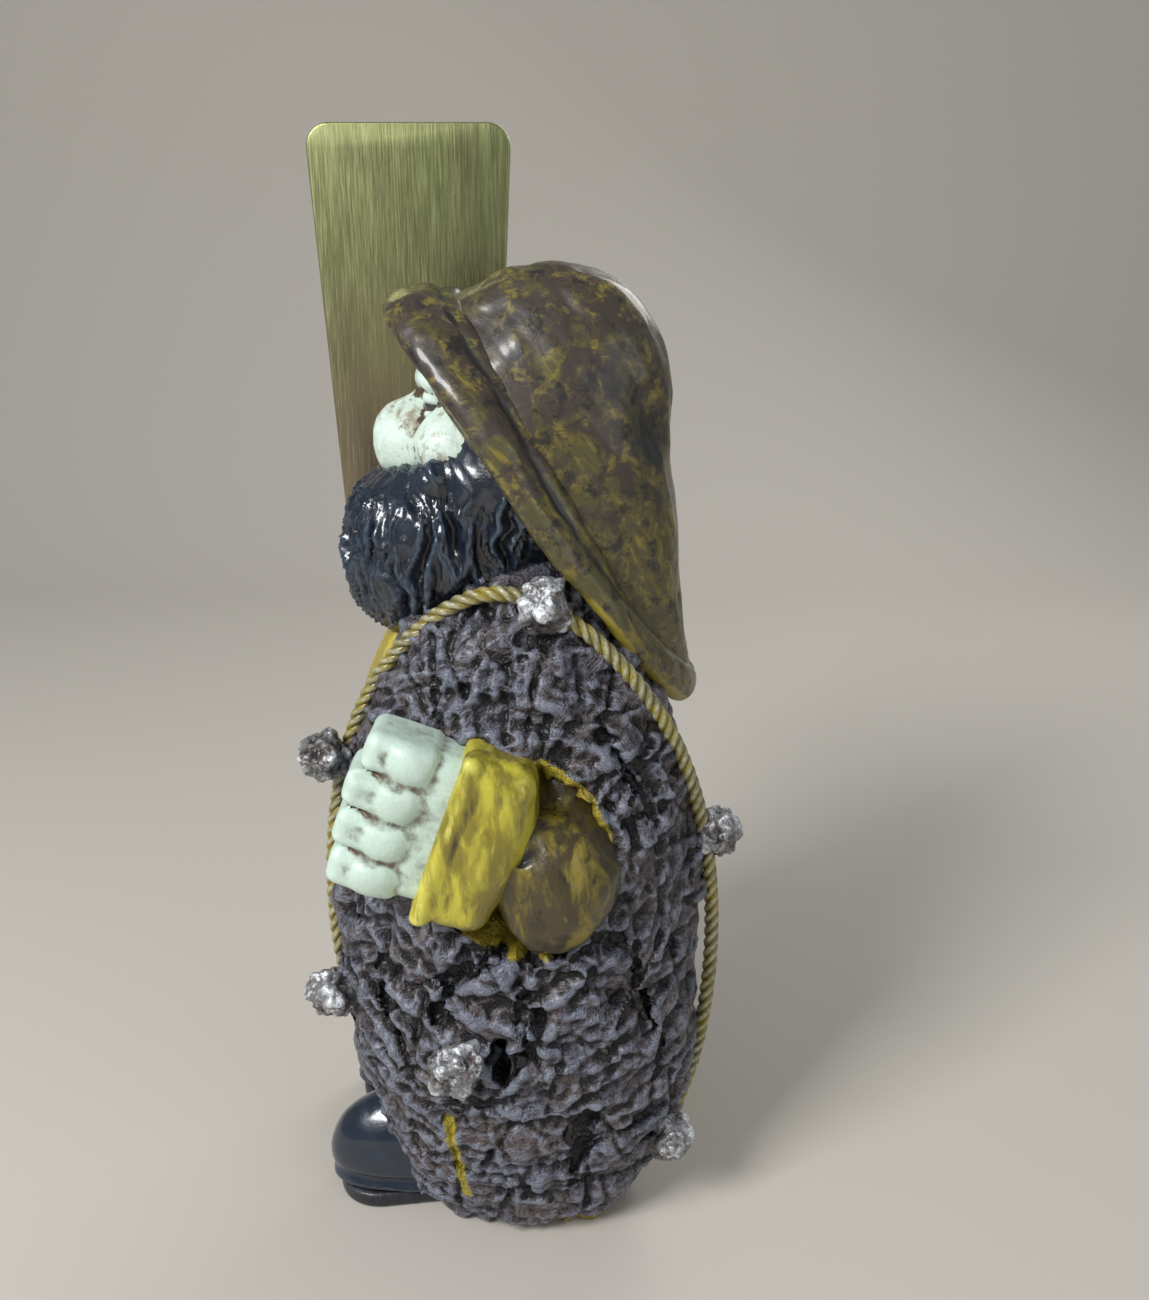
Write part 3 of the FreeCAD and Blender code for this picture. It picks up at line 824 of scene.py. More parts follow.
@dataclass(frozen=True)
class BrushedBrass:
    """Flat brass sheet, brushed lengthwise, greener at the top, and browner low down as a painted
    reflection of the hat.
    """

    name: str = "oar_brushed_brass"
    high: Colour = (0.31, 0.34, 0.145)
    # low: painted reflection of the hat, which browns the plate low down
    low: Colour = (0.275, 0.215, 0.150)
    stain: Colour = (0.22, 0.20, 0.11)
    rim: Colour = (0.60, 0.58, 0.34)
    hat_reflection_fade_from: float = 125.0
    hat_reflection_fade_to: float = 190.0

    def material(self) -> bpy.types.Material:
        """The finished material.

        Returns:
            The material.
        """
        r = Recipe(self.name)
        fade = r.rise(r.axis("Z"), self.hat_reflection_fade_from, self.hat_reflection_fade_to)
        cloud = r.noise(14.0, 4, 0.6)
        lines = r.noise(0.24, 3, 0.7, 0, r.stretched((1, 1, 0.03)))
        broad = r.noise(1.2, 3, 0.6, 0, r.stretched((1, 1, 0.05)))
        # Painted reflection: the plate goes from the hat's brown low down to the brass's green above.
        colour = r.mix(fade, self.low, self.high)
        colour = r.mix(r.rise(cloud, 0.5, 0.75, 0, 0.6), colour, self.stain)
        colour = r.mix(r.rise(broad, 0.35, 0.7, 0.3, 0), colour, self.stain)
        colour = r.mix(r.rise(lines, 0.5, 0.75, 0, 0.3), colour, self.rim)
        colour = r.mix(r.mark("rim"), colour, self.rim)
        r.set(Base_Color=colour, Metallic=0.92,
              Roughness=r.rise(lines, 0.3, 0.7, 0.3, 0.52),
              Normal=r.relief(lines, 0.02, r.relief(broad, 0.02)))
        return r.material


@dataclass(frozen=True)
class HatVarnish:
    """Glossy varnish over olive and mustard paint, mottled with purple brown, with painted shade in black
    in its hollows.
    """

    name: str
    olive: Colour = (0.090, 0.078, 0.024)
    mustard: Colour = (0.29, 0.225, 0.030)
    brown: Colour = (0.042, 0.028, 0.024)
    # black: random spots, the dark patches at the dents, and painted shade in the hollows
    black: Colour = (0.012, 0.011, 0.010)
    edge: Colour = (0.36, 0.28, 0.030)
    brown_above: float = 150.0
    streak_scale: Point = (0.22, 1.0, 1.0)
    tilt: float = 52.0

    def material(self) -> bpy.types.Material:
        """The finished material.

        Returns:
            The material.
        """
        r = Recipe(self.name)
        along = r.stretched(self.streak_scale, (0, self.tilt, 0))
        cloud = r.noise(5.0, 6, 0.7, 0.5)
        brush = r.noise(2.4, 5, 0.65, 0.8, along)
        height = r.rise(r.axis("Z"), self.brown_above - 30, self.brown_above + 14)
        brown = r.reckon("ADD", r.reckon("MULTIPLY", height, 0.14),
                         r.reckon("MULTIPLY", cloud, 0.9))
        colour = r.mix(r.rise(brush, 0.5, 0.68, 0, 0.75), self.olive, self.mustard)
        colour = r.mix(r.rise(brown, 0.47, 0.60, 0, 0.9), colour, self.brown)
        colour = r.mix(r.rise(r.noise(4.0, 5, 0.7, 0.3), 0.53, 0.66, 0, 0.6),
                       colour, self.mustard)
        spots = r.noise(3.6, 5, 0.7, 0.2)
        colour = r.mix(r.rise(spots, 0.54, 0.64, 0, 0.85), colour, self.black)
        colour = r.mix(r.rise(r.mark("stain"), 0.2, 0.8), colour, self.black)
        # Painted shade: black in the hollows, along the brim's creases and under the nape flap.
        wear_and_painted_light = r.reckon("ADD", r.mark("hollow"),
                        r.reckon("MULTIPLY_ADD", brush, 0.4, -0.2))
        colour = r.mix(r.rise(wear_and_painted_light, 0.50, 0.68), colour, self.black)
        colour = r.mix(r.rise(r.mark("edge"), 0.3, 0.7, 0, 0.85), colour, self.edge)
        r.set(Base_Color=colour, Roughness=r.rise(cloud, 0.3, 0.7, 0.36, 0.55),
              Coat_Weight=0.5, Coat_Roughness=0.16,
              Normal=r.relief(brush, 0.12, r.relief(r.noise(1.1, 3, 0.6), 0.05)))
        return r.material


@dataclass(frozen=True)
class CrumpledGauze:
    """Stiffened gauze, purple brown with black in its creases and pale folds, partly dry-brushed paint
    and partly a painted bluish highlight.
    """

    name: str = "net_crumpled_gauze"
    base: Colour = (0.070, 0.064, 0.086)
    warm: Colour = (0.100, 0.074, 0.072)
    black: Colour = (0.006, 0.006, 0.008)
    # pale: dry-brushed paint, and a painted bluish highlight on the folds
    pale: Colour = (0.26, 0.29, 0.37)
    yellow: Colour = (0.42, 0.33, 0.03)

    def material(self) -> bpy.types.Material:
        """The finished material.

        Returns:
            The material.
        """
        r = Recipe(self.name)
        cloud = r.noise(8.0, 4, 0.6, 0.5)
        colour = r.mix(r.rise(cloud, 0.4, 0.62), self.base, self.warm)
        weave = r.crests(1.5, 0.06, (0, 12, 0))
        for number, lean in enumerate((-38, 47, 85)):
            weave = r.reckon("MAXIMUM", weave, r.crests(1.3 + 0.3 * number, 0.06, (0, lean, 0)))
        fine = r.noise(1.1, 5, 0.7, 0.6)
        wear_and_painted_light = r.reckon("ADD", r.mark("hollow"), r.reckon("MULTIPLY_ADD", fine, -0.5, 0.25))
        wear_and_painted_light = r.reckon("SUBTRACT", wear_and_painted_light, r.reckon("MULTIPLY_ADD", weave, 0.16, -0.05))
        # Pale folds: partly dry-brushed paint, partly a painted highlight.
        colour = r.mix(r.rise(wear_and_painted_light, 0.46, 0.22, 0, 0.65), colour, self.pale)
        colour = r.mix(r.rise(wear_and_painted_light, 0.46, 0.62), colour, self.black)
        bare = r.reckon("ADD", r.mark("bare"),
                        r.reckon("MULTIPLY_ADD", fine, 1.2, -0.6))
        colour = r.mix(r.rise(bare, 0.4, 0.62), colour, self.yellow)
        r.set(Base_Color=colour, Roughness=r.rise(weave, 0.0, 1.0, 0.5, 0.34),
              Coat_Weight=0.3, Coat_Roughness=0.3,
              Normal=r.relief(weave, 0.22, r.relief(fine, 0.22)))
        return r.material


# ---------------------------------------------------------------------------
# The oar
# ---------------------------------------------------------------------------

@dataclass(frozen=True)
class Oar:
    """The metal oar, as the CAD has it, with its stamped edges eased."""

    edge_ease: float = 0.45
    ease_steps: int = 3
    finish: BrushedBrass = BrushedBrass()

    def build(self) -> None:
        """Copy the CAD plate, ease its edges and mark them."""
        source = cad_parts["oar_opener"]
        mesh = source.data.copy()
        mesh.name = "oar"
        shape = bmesh.new()
        shape.from_mesh(mesh)
        bmesh.ops.remove_doubles(shape, verts=shape.verts, dist=0.001 * MM)
        bmesh.ops.dissolve_limit(shape, angle_limit=math.radians(1.0),
                                 verts=shape.verts, edges=shape.edges)
        corners = [e for e in shape.edges if e.is_manifold
                   and e.calc_face_angle() > math.radians(60)
                   and abs((e.verts[0].co - e.verts[1].co).y) < 0.5 * MM]
        bmesh.ops.bevel(shape, geom=corners, offset=self.edge_ease * MM,
                        segments=self.ease_steps, profile=0.5, affect="EDGES")
        bmesh.ops.triangulate(shape, faces=shape.faces)
        shape.to_mesh(mesh)
        shape.free()
        span = Span.of("oar_opener")
        spots = np.empty(len(mesh.vertices) * 3)
        mesh.vertices.foreach_get("co", spots)
        depth = np.abs(spots.reshape(-1, 3)[:, 1] / MM - span.centre[1])
        flat = span.half[1] - self.edge_ease * 0.2
        rim = mesh.attributes.new("rim", "FLOAT", "POINT")
        rim.data.foreach_set("value", (depth < flat).astype(float) * 0.8)
        mesh.materials.clear()
        mesh.materials.append(self.finish.material())
        mesh.shade_smooth()
        mesh.set_sharp_from_angle(angle=math.radians(38))
        settle(link(bpy.data.objects.new("oar", mesh)), "oar_brass", "oar_opener",
               body=Body.OAR)


# ---------------------------------------------------------------------------
# The sou'wester
# ---------------------------------------------------------------------------

@dataclass(frozen=True)
class Hat:
    """The sou'wester, in its own axes: u along the brim to the nape, v across, n up."""

    tilt: float = 52.0
    behind_head: float = 3.5
    below_head: float = 8.0
    half_length: float = 40.6
    half_width: float = 21.6
    roll_thick: float = 2.7
    sheet_thick: float = 1.7
    crown_bulge: float = 2.3
    step: float = 0.55
    finish: HatVarnish = HatVarnish("hat_varnish")
    top: tuple[tuple[float, float], ...] = (
        (-38, 5.5), (-37, 8.5), (-35.6, 15), (-33.2, 21.7), (-28.9, 27.7), (-24, 31.4),
        (-18, 32.8), (-10.8, 31.6), (-3, 28.0), (6, 21.6), (18, 13.9), (29, 7.3), (39, 2.0))
    half_widths: tuple[tuple[float, float], ...] = (
        (-37.6, 3), (-35, 8), (-30, 12.4), (-21, 16.8), (-9, 18.8), (4, 18.4), (18, 14.8),
        (30, 9.5), (39, 3.5))
    lip_heights: tuple[tuple[float, float], ...] = (
        (-42, 2.8), (-34, 2.6), (-21, 2.2), (-8, 0.6), (6, -0.6), (20, -1.2), (41, -1.6))
    lip_halves: tuple[tuple[float, float], ...] = (
        (-42, 5.1), (-34, 4.4), (-21, 3.6), (-8, 3.2), (6, 2.8), (20, 2.4), (41, 2.9))

    def origin(self) -> Array:
        """The middle of the brim, behind and below the middle of the head.

        Returns:
            The place, in the frame.
        """
        head = Span.of("head")
        radius = head.half[2]
        return np.array([head.high[0] - radius + self.behind_head, head.centre[1],
                         head.centre[2] - self.below_head])

    def turn(self) -> Array:
        """The hat's axes in the frame."""
        return turn_about(1, self.tilt)

    def in_hat(self, spot: Point) -> Array:
        """A place of the frame in the hat's own axes."""
        return (np.array(spot) - self.origin()) @ self.turn()

    def crown(self) -> Skin:
        """The soft crown: rounded sections under a long falling profile.

        Returns:
            Its skin, in the hat's own axes.
        """
        clay = Clay((-39, -21, -4), (39, 21, 34), self.step)
        u, v, n = clay.grid
        top = smooth_line(self.top, u)
        wide = smooth_line(self.half_widths, u)
        foot = smooth_line(self.lip_heights, u) - 1.0
        rise = np.maximum(n - foot, 0) / np.maximum(top - foot, 1.5)
        bulge = self.crown_bulge
        body = ((np.abs(v) / np.maximum(wide, 1.5)) ** bulge + rise**bulge) ** (1 / bulge) - 1
        clay.add(clay.implicit(body + 0 * n))
        clay.keep(np.maximum(-2.5 - n, np.abs(u) - 38.6) + 0 * v, 1.0)
        for place, size, depth in (((22.9, -9.5, 145.5), 6.0, 2.2), ((17.5, -13.5, 155.0), 5.0, 1.0)):
            spot = self.in_hat(place)
            outward = np.array([0.25, -0.35, 0.9])
            centre = spot + outward / np.linalg.norm(outward) * (size - depth)
            clay.cut(clay.egg(centre, (size * 1.3, size, size)), 3.0)
        skin = clay.harden()
        grain = Grain(11)
        p = skin.points
        skin.push(grain.layers(p, (26, 13, 13), 2) * 0.75 + grain.layers(p, (12, 3.2, 3.2), 2) * 0.22)
        return self.marked(skin, 0.35)

    def brim(self) -> Skin:
        """The brim: a rolled lip round a sheet, turned up in front and long at the nape.

        Returns:
            Its skin, in the hat's own axes.
        """
        clay = Clay((-46, -25, -8), (43, 25, 9), self.step)
        u, v, n = clay.grid
        length, width = self.half_length, self.half_width
        near = np.sqrt((u / length) ** 2 + (v / width) ** 2)
        slope = np.sqrt((u / length**2) ** 2 + (v / width**2) ** 2)
        out = (near - 1) * near / np.maximum(slope, 1e-4)
        middle = smooth_line(self.lip_heights, u)
        half = smooth_line(self.lip_halves, u)
        lean = 0.35
        lip = (np.sqrt(((out - lean * (middle - n)) / self.roll_thick) ** 2
                       + ((n - middle) / half) ** 2) - 1)
        clay.add(clay.implicit(lip))
        ease = np.clip((30 - u) / 30, 0, 1)
        band_rise = 3.0 * ease
        band = (np.sqrt(((out + 3.6) / 3.0) ** 2
                        + ((n - middle - band_rise) / (half * 0.85)) ** 2) - 1)
        clay.add(clay.implicit(band), 0.35)
        sheet = np.maximum(np.abs(n - middle - 0.6) - self.sheet_thick, out)
        clay.add(sheet, 1.2)
        # The hollow under the nape flap, which the varnish paints black as painted shade.
        clay.cut(clay.egg((24, 0, -8.5), (17.5, 13.5, 8.2)), 1.0)
        nick = self.in_hat((-14.6, -14.0, 163.5))
        clay.cut(clay.rod(nick + [-2.2, -2.5, -1.0], nick + [2.2, -2.5, 1.4], 0.5), 0.3)
        skin = clay.harden()
        grain = Grain(12)
        p = skin.points
        skin.push(grain.layers(p, (16, 8, 8), 2) * 0.45 + grain.layers(p, (7, 2.5, 2.5), 2) * 0.2)
        return self.marked(skin, 0.2)

    def marked(self, skin: Skin, depth: float) -> Skin:
        """Mark hollows, dark stains and the yellow edges, then carry the skin to the frame.

        Args:
            skin: a piece of the hat, in the hat's own axes.
            depth: how far below its surroundings counts as fully hollow.

        Returns:
            The same skin, in the frame.
        """
        skin.mark_hollows(depth)
        stains = ((22.9, -9.0, 144.6, 4.6), (17.0, -14.5, 154.2, 4.0), (21.0, -13.0, 150.0, 2.6))
        total = np.zeros(len(skin.points))
        for x, y, z, size in stains:
            reach = np.linalg.norm(skin.points - self.in_hat((x, y, z)), axis=1) / size
            total += np.exp(-reach**2)
        patchy = Grain(13).layers(skin.points, 4.0, 3)
        skin.mark("stain", total + 0.35 * patchy * (total > 0.05))
        u, n = skin.points[:, 0], skin.points[:, 2]
        low = n - smooth_line(self.lip_heights, u)
        skin.mark("edge", np.clip((u - 2) / 16, 0, 1) * np.clip((0.4 - low) / 1.5, 0, 1)
                  * (0.75 + 0.5 * patchy))
        return skin.carried(self.origin(), self.turn())

    def build(self) -> None:
        """Both pieces of the hat."""
        finish = self.finish.material()
        settle(self.crown().build("hat_crown_shell", finish), "hat_varnish", "hat_crown")
        settle(self.brim().build("hat_brim_shell", finish), "hat_varnish", "hat_brim")


# ---------------------------------------------------------------------------
# The head and the beard
# ---------------------------------------------------------------------------

@dataclass(frozen=True)
class Head:
    """The face of a plain old seaman: a round nose, full cheeks and half-shut eyes."""

    nose: Point = (-20.0, 0.0, 2.5)
    nose_ball: Lump = Lump((0, 0, 0), (7.4, 7.548, 7.4), 3.2)
    nostril: Lump = Lump((3.6, 5.0, -1.4), (5.0, 4.0, 4.6), 3.0)
    bridge: Bar = Bar((-18.5, 0, 4.0), (-13.8, 0, 13.5), 3.6, 3.0, 2.2)
    brow: Lump = Lump((-14.5, 0, 13.5), (5, 12, 3.6), 3.0)
    cheek: Lump = Lump((-12.6, 9.4, 2.8), (6.4, 6.2, 6.4), 3.5)
    eye_pit: Lump = Lump((-19.0, 6.4, 9.2), (4.0, 3.6, 2.8), 1.6)
    upper_lid: Lump = Lump((-15.0, 6.4, 10.7), (2.6, 3.4, 1.5), 0.5)
    lower_lid: Lump = Lump((-15.0, 6.4, 7.6), (2.4, 3.2, 1.1), 0.5)
    eye: Lump = Lump((-15.0, 6.4, 9.2), (2.5, 2.5, 2.0))
    skull_inset: float = 0.3
    step: float = 0.5
    eye_step: float = 0.3
    paint: CastPaint = CastPaint(
        "face_paint", base=(0.66, 0.80, 0.70), blotch=(0.34, 0.30, 0.22),
        wash=(0.075, 0.045, 0.025), rubbed_and_highlight=(0.74, 0.88, 0.80), blotch_size=4.5,
        blotch_from=0.56, wash_from=0.50, wash_to=0.68, patchy=0.85, roughness=0.42, coat=0.25)
    eye_paint: CastPaint = CastPaint(
        "eye_paint", base=(0.03, 0.03, 0.035), blotch=(0.05, 0.045, 0.04),
        wash=(0.01, 0.01, 0.01), rubbed_and_highlight=(0.06, 0.06, 0.06), roughness=0.2, coat=0.8)

    def centre(self) -> Array:
        """The middle of the skull."""
        span = Span.of("head")
        return np.array([span.high[0] - span.half[2], span.centre[1], span.centre[2]])

    def build(self) -> None:
        """The skull with its features, and the two eyes."""
        c = self.centre()
        r = Span.of("head").half[2] - self.skull_inset
        clay = Clay(c - [r + 12, r + 1, r + 1], c + [r, r, r], self.step)
        clay.add(clay.egg(c, (r, r, r)))
        nose = c + self.nose
        clay.press(self.brow, c)
        for side in Side:
            clay.press(self.cheek, c, side.value)
            clay.press(self.nostril, nose, side.value)
            clay.carve(self.eye_pit, c, side.value)
        clay.press(self.bridge, c)
        clay.press(self.nose_ball, nose)
        for side in Side:
            clay.press(self.upper_lid, c, side.value)
            clay.press(self.lower_lid, c, side.value)
        skin = clay.harden()
        skin.push(Grain(21).layers(skin.points, 7.0, 3) * 0.28)
        skin.mark_hollows(0.20, 12)
        settle(skin.build("face", self.paint.material()), "skin_paint", "head")
        for side in Side:
            middle = c + np.array(self.eye.place) * [1, side.value, 1]
            ball = Clay(middle - 3, middle + 3, self.eye_step)
            skin = ball.press(self.eye, c, side.value).harden().mark_hollows(1.0)
            settle(skin.build(f"{side.word}_eye", self.eye_paint.material()), "skin_paint")


@dataclass(frozen=True)
class Beard:
    """A full beard whose locks run down to the chin, under a moustache."""

    lock_width: float = 1.75
    lock_length: float = 13.0
    lock_depth: float = 1.7
    pole_ahead: float = 17.5
    masses: tuple[Lump, ...] = (
        Lump((-13.2, 0, -16.4), (19.8, 19.6, 15.4)),
        Lump((-14.0, 0, -22.0), (17.6, 16.5, 10.5), 2.0),
        Lump((-14.0, 0, -9.5), (17.4, 18.6, 10.5), 3.0))
    sideburn: Lump = Lump((-4.5, 11.5, -4.5), (9.5, 9.0, 13.0), 3.0, -14.0)
    moustache: Bar = Bar((-22.5, 2.0, -6.2), (-15.0, 14.0, -2.0), 4.0, 3.4, 1.6)
    nose_seat: Lump = Lump((-20.5, 0, 3.1), (7.6, 7.8, 7.4), 0.8)
    face_opening: Lump = Lump((-13.5, 0, 7.2), (9.5, 14.2, 8.5), 1.0)
    lock_strength: tuple[tuple[float, float], ...] = (
        (-34, 1.0), (-7.5, 1.0), (-5.5, 0.8), (-3.5, 0.4), (0, 0.5), (3, 0.8), (6, 0.9))
    step: float = 0.5
    # The bluish crest colour of the locks is a painted highlight on the black enamel.
    paint: CastPaint = CastPaint(
        "beard_enamel", base=(0.006, 0.010, 0.020), blotch=(0.010, 0.018, 0.036),
        wash=(0.001, 0.001, 0.003), rubbed_and_highlight=(0.035, 0.060, 0.095), blotch_size=5.0,
        wash_from=0.55, wash_to=0.8, rub_and_highlight_from=0.36, rub_and_highlight_to=0.05, patchy=0.3,
        roughness=0.3, roughness_spread=0.12, coat=0.8, coat_roughness=0.12,
        pit_size=0.9, pit_depth=0.1)

    def build(self) -> None:
        """The beard in one piece, with the moustache and the sideburns."""
        c = Head().centre()
        low = Span.of("beard").low
        clay = Clay(c - [36, 22, c[2] - low[2] + 3], c + [8, 22, 14], self.step)
        for mass in self.masses:
            clay.press(mass, c)
        for side in Side:
            clay.press(self.sideburn, c, side.value)
            clay.press(self.moustache, c, side.value)
        clay.carve(self.nose_seat, c)
        clay.carve(self.face_opening, c)
        skin = clay.harden()
        p = skin.points
        away = p - (c + [-self.pole_ahead, 0, 0])
        angle = np.arctan2(away[:, 1], -away[:, 0])
        height = p[:, 2] - c[2] - 0.30 * np.maximum(p[:, 0] - c[0] + 12, 0)
        band = smooth_line(self.lock_strength, height)
        grain = Grain(31)
        sway = grain.layers(p, 11.0, 2) * 2.6
        across = (angle * 17.0 + sway) / self.lock_width
        flow = np.stack([across, p[:, 2] / self.lock_length, np.full(len(p), 0.5)], axis=1)
        locks = grain.ridges(flow, 1.0, 2)
        fine = grain.ridges(flow * [2.6, 2.0, 1.0] + 5.0, 1.0, 1)
        skin.push((locks * self.lock_depth + fine * 0.35 - 0.9) * band)
        skin.mark_hollows(0.34, 6)
        settle(skin.build("beard_locks", self.paint.material()), "beard_enamel", "beard")


# ---------------------------------------------------------------------------
# Coat, arms and legs
# ---------------------------------------------------------------------------

OILSKIN = CastPaint(
    "oilskin_paint", base=(0.36, 0.27, 0.030), blotch=(0.46, 0.36, 0.035),
    wash=(0.030, 0.020, 0.008), rubbed_and_highlight=(0.58, 0.47, 0.07), blotch_size=8.0,
    wash_from=0.53, wash_to=0.76, patchy=0.55, streak=(1.0, 1.0, 0.35),
    roughness=0.38, coat=0.45)


@dataclass(frozen=True)
class Coat:
    """The oilskin coat, buttoned down the front, with flutes at its hem and a turned collar."""

    back_to_middle: float = 29.0
    skirt: Lump = Lump((0, 0, 16), (28.3, 19.8, 50.0))
    chest: Lump = Lump((0, 0, 43), (28.8, 19.3, 42.0), 3.0)
    neck: Bar = Bar((0, 0, 66), (0, 0, 80), 11.0, 11.0, 3.0)
    placket_half: float = 6.0
    placket_proud: float = 1.1
    pocket_place: Point = (-18.0, 13.0, 17.0)
    pocket_half: Point = (9.0, 9.0, 8.0)
    pocket_round: float = 2.0
    pocket_proud: float = 0.8
    pocket_mouth: Bar = Bar((-27, 8, 23), (-9, 20, 23), 0.7, 0.7, 0.4)
    hem_middle: float = 2.6
    hem_roll: float = 2.0
    hem_proud: float = 0.7
    flute_count: int = 11
    flute_height: float = 45.0
    step: float = 0.65
    button_radius: float = 2.7
    button_hole: Bar = Bar((-1.2, 0.7, 0), (0.4, 0.7, 0), 0.36, 0.36, 0.15)
    paint: CastPaint = OILSKIN
    button_paint: CastPaint = CastPaint(
        "button_paint", base=(0.10, 0.055, 0.025), blotch=(0.14, 0.08, 0.035),
        wash=(0.015, 0.010, 0.006), rubbed_and_highlight=(0.24, 0.15, 0.07), blotch_size=2.0,
        roughness=0.3, coat=0.5)

    def build(self) -> None:
        """The coat, the collar and the buttons."""
        self.body()
        self.collar()
        self.buttons()

    def body(self) -> None:
        """The body of the coat."""
        hem = Span.of("left_trouser").high[2]
        boxes = [Span.of(node) for node in ("left_trouser", "right_trouser")]
        y = float(np.mean([b.centre[1] for b in boxes]))
        x = Span.of("coat").high[0] - self.back_to_middle
        foot = np.array([x, y, hem])
        clay = Clay(foot - [31, 21, 1], foot + [30, 21, 84], self.step)
        for shape in (self.skirt, self.chest, self.neck):
            clay.press(shape, foot)
        front = np.abs(clay.grid[1] - y) - self.placket_half
        flap = np.maximum(clay.field - self.placket_proud, front)
        clay.add(np.maximum(flap, clay.grid[0] - x), 0.4)
        for side in Side:
            place = foot + np.array(self.pocket_place) * [1, side.value, 1]
            patch = clay.block(place, self.pocket_half, self.pocket_round)
            clay.add(np.maximum(clay.field - self.pocket_proud, patch), 0.3)
            clay.carve(self.pocket_mouth, foot, side.value)
        level = np.abs(clay.grid[2] - hem - self.hem_middle) - self.hem_roll
        clay.add(np.maximum(clay.field - self.hem_proud, level), 0.6)
        clay.keep(hem - clay.grid[2] + 0 * clay.field, 0.8)
        skin = clay.harden()
        p = skin.points - foot
        angle = np.arctan2(p[:, 1], -p[:, 0])
        low = np.clip(1 - p[:, 2] / self.flute_height, 0, 1)
        grain = Grain(41)
        flutes = np.sin(angle * self.flute_count + grain.layers(p, 22.0, 2) * 2.2)
        folds = grain.ridges(p, (17, 13, 26), 2)
        skin.push(flutes * low * (p[:, 2] > 0.3) + (folds - 0.4) * 0.8
                  + grain.layers(p, 5.0, 2) * 0.14)
        skin.points[:, 2] = np.maximum(skin.points[:, 2], hem - 0.3)
        skin.mark_hollows(0.34, 9)
        settle(skin.build("coat_body", self.paint.material()), "oilskin_yellow", "coat")

    def collar(self) -> None:
        """The collar: a soft roll that stands up behind and parts in front."""
        span = Span.of("collar")
        head = Head().centre()
        centre = np.array([head[0] - 2.0, head[1], span.low[2] + 4.4])
        clay = Clay(centre - [19, 19, 7], centre + [19, 19, 9], 0.5)
        clay.add(clay.ring(centre, 13.5, 3.9, 4.0))
        clay.add(clay.ring(centre + [0.8, 0, 2.2], 12.2, 1.9, 4.2), 1.5)
        notch = clay.block(centre + [-15, 0, 3], (6, 1.4, 9), 0.6)
        clay.cut(notch, 1.2)
        skin = clay.harden()
        grain = Grain(42)
        skin.push(grain.ridges(skin.points, (9, 9, 4), 2) * 0.5 - 0.3)
        skin.mark_hollows(0.3, 8)
        settle(skin.build("coat_collar", self.paint.material()), "oilskin_yellow", "collar")

    def buttons(self) -> None:
        """The buttons: a dished disc with a rim, set on each of their places."""
        radius = self.button_radius
        for node in (f"coat_button_{n}" for n in (1, 2, 3)):
            span = Span.of(node)
            face = np.array([span.low[0] + 0.8, span.centre[1], span.centre[2]])
            turn = turn_about(1, -90)
            clay = Clay(face - 3.6, face + 3.6, 0.22)
            clay.add(clay.slab(face + [0.7, 0, 0], (radius, radius, 1.4), radius, 0.5, turn))
            clay.add(clay.ring(face - [0.6, 0, 0], radius - 0.65, 0.55, 0.5, turn), 0.3)
            for side in Side:
                clay.carve(self.button_hole, face, side.value)
            name = node.replace("coat_", "") + "_disc"
            skin = clay.harden().mark_hollows(0.16, 6)
            settle(skin.build(name, self.button_paint.material()), "button_paint", node)


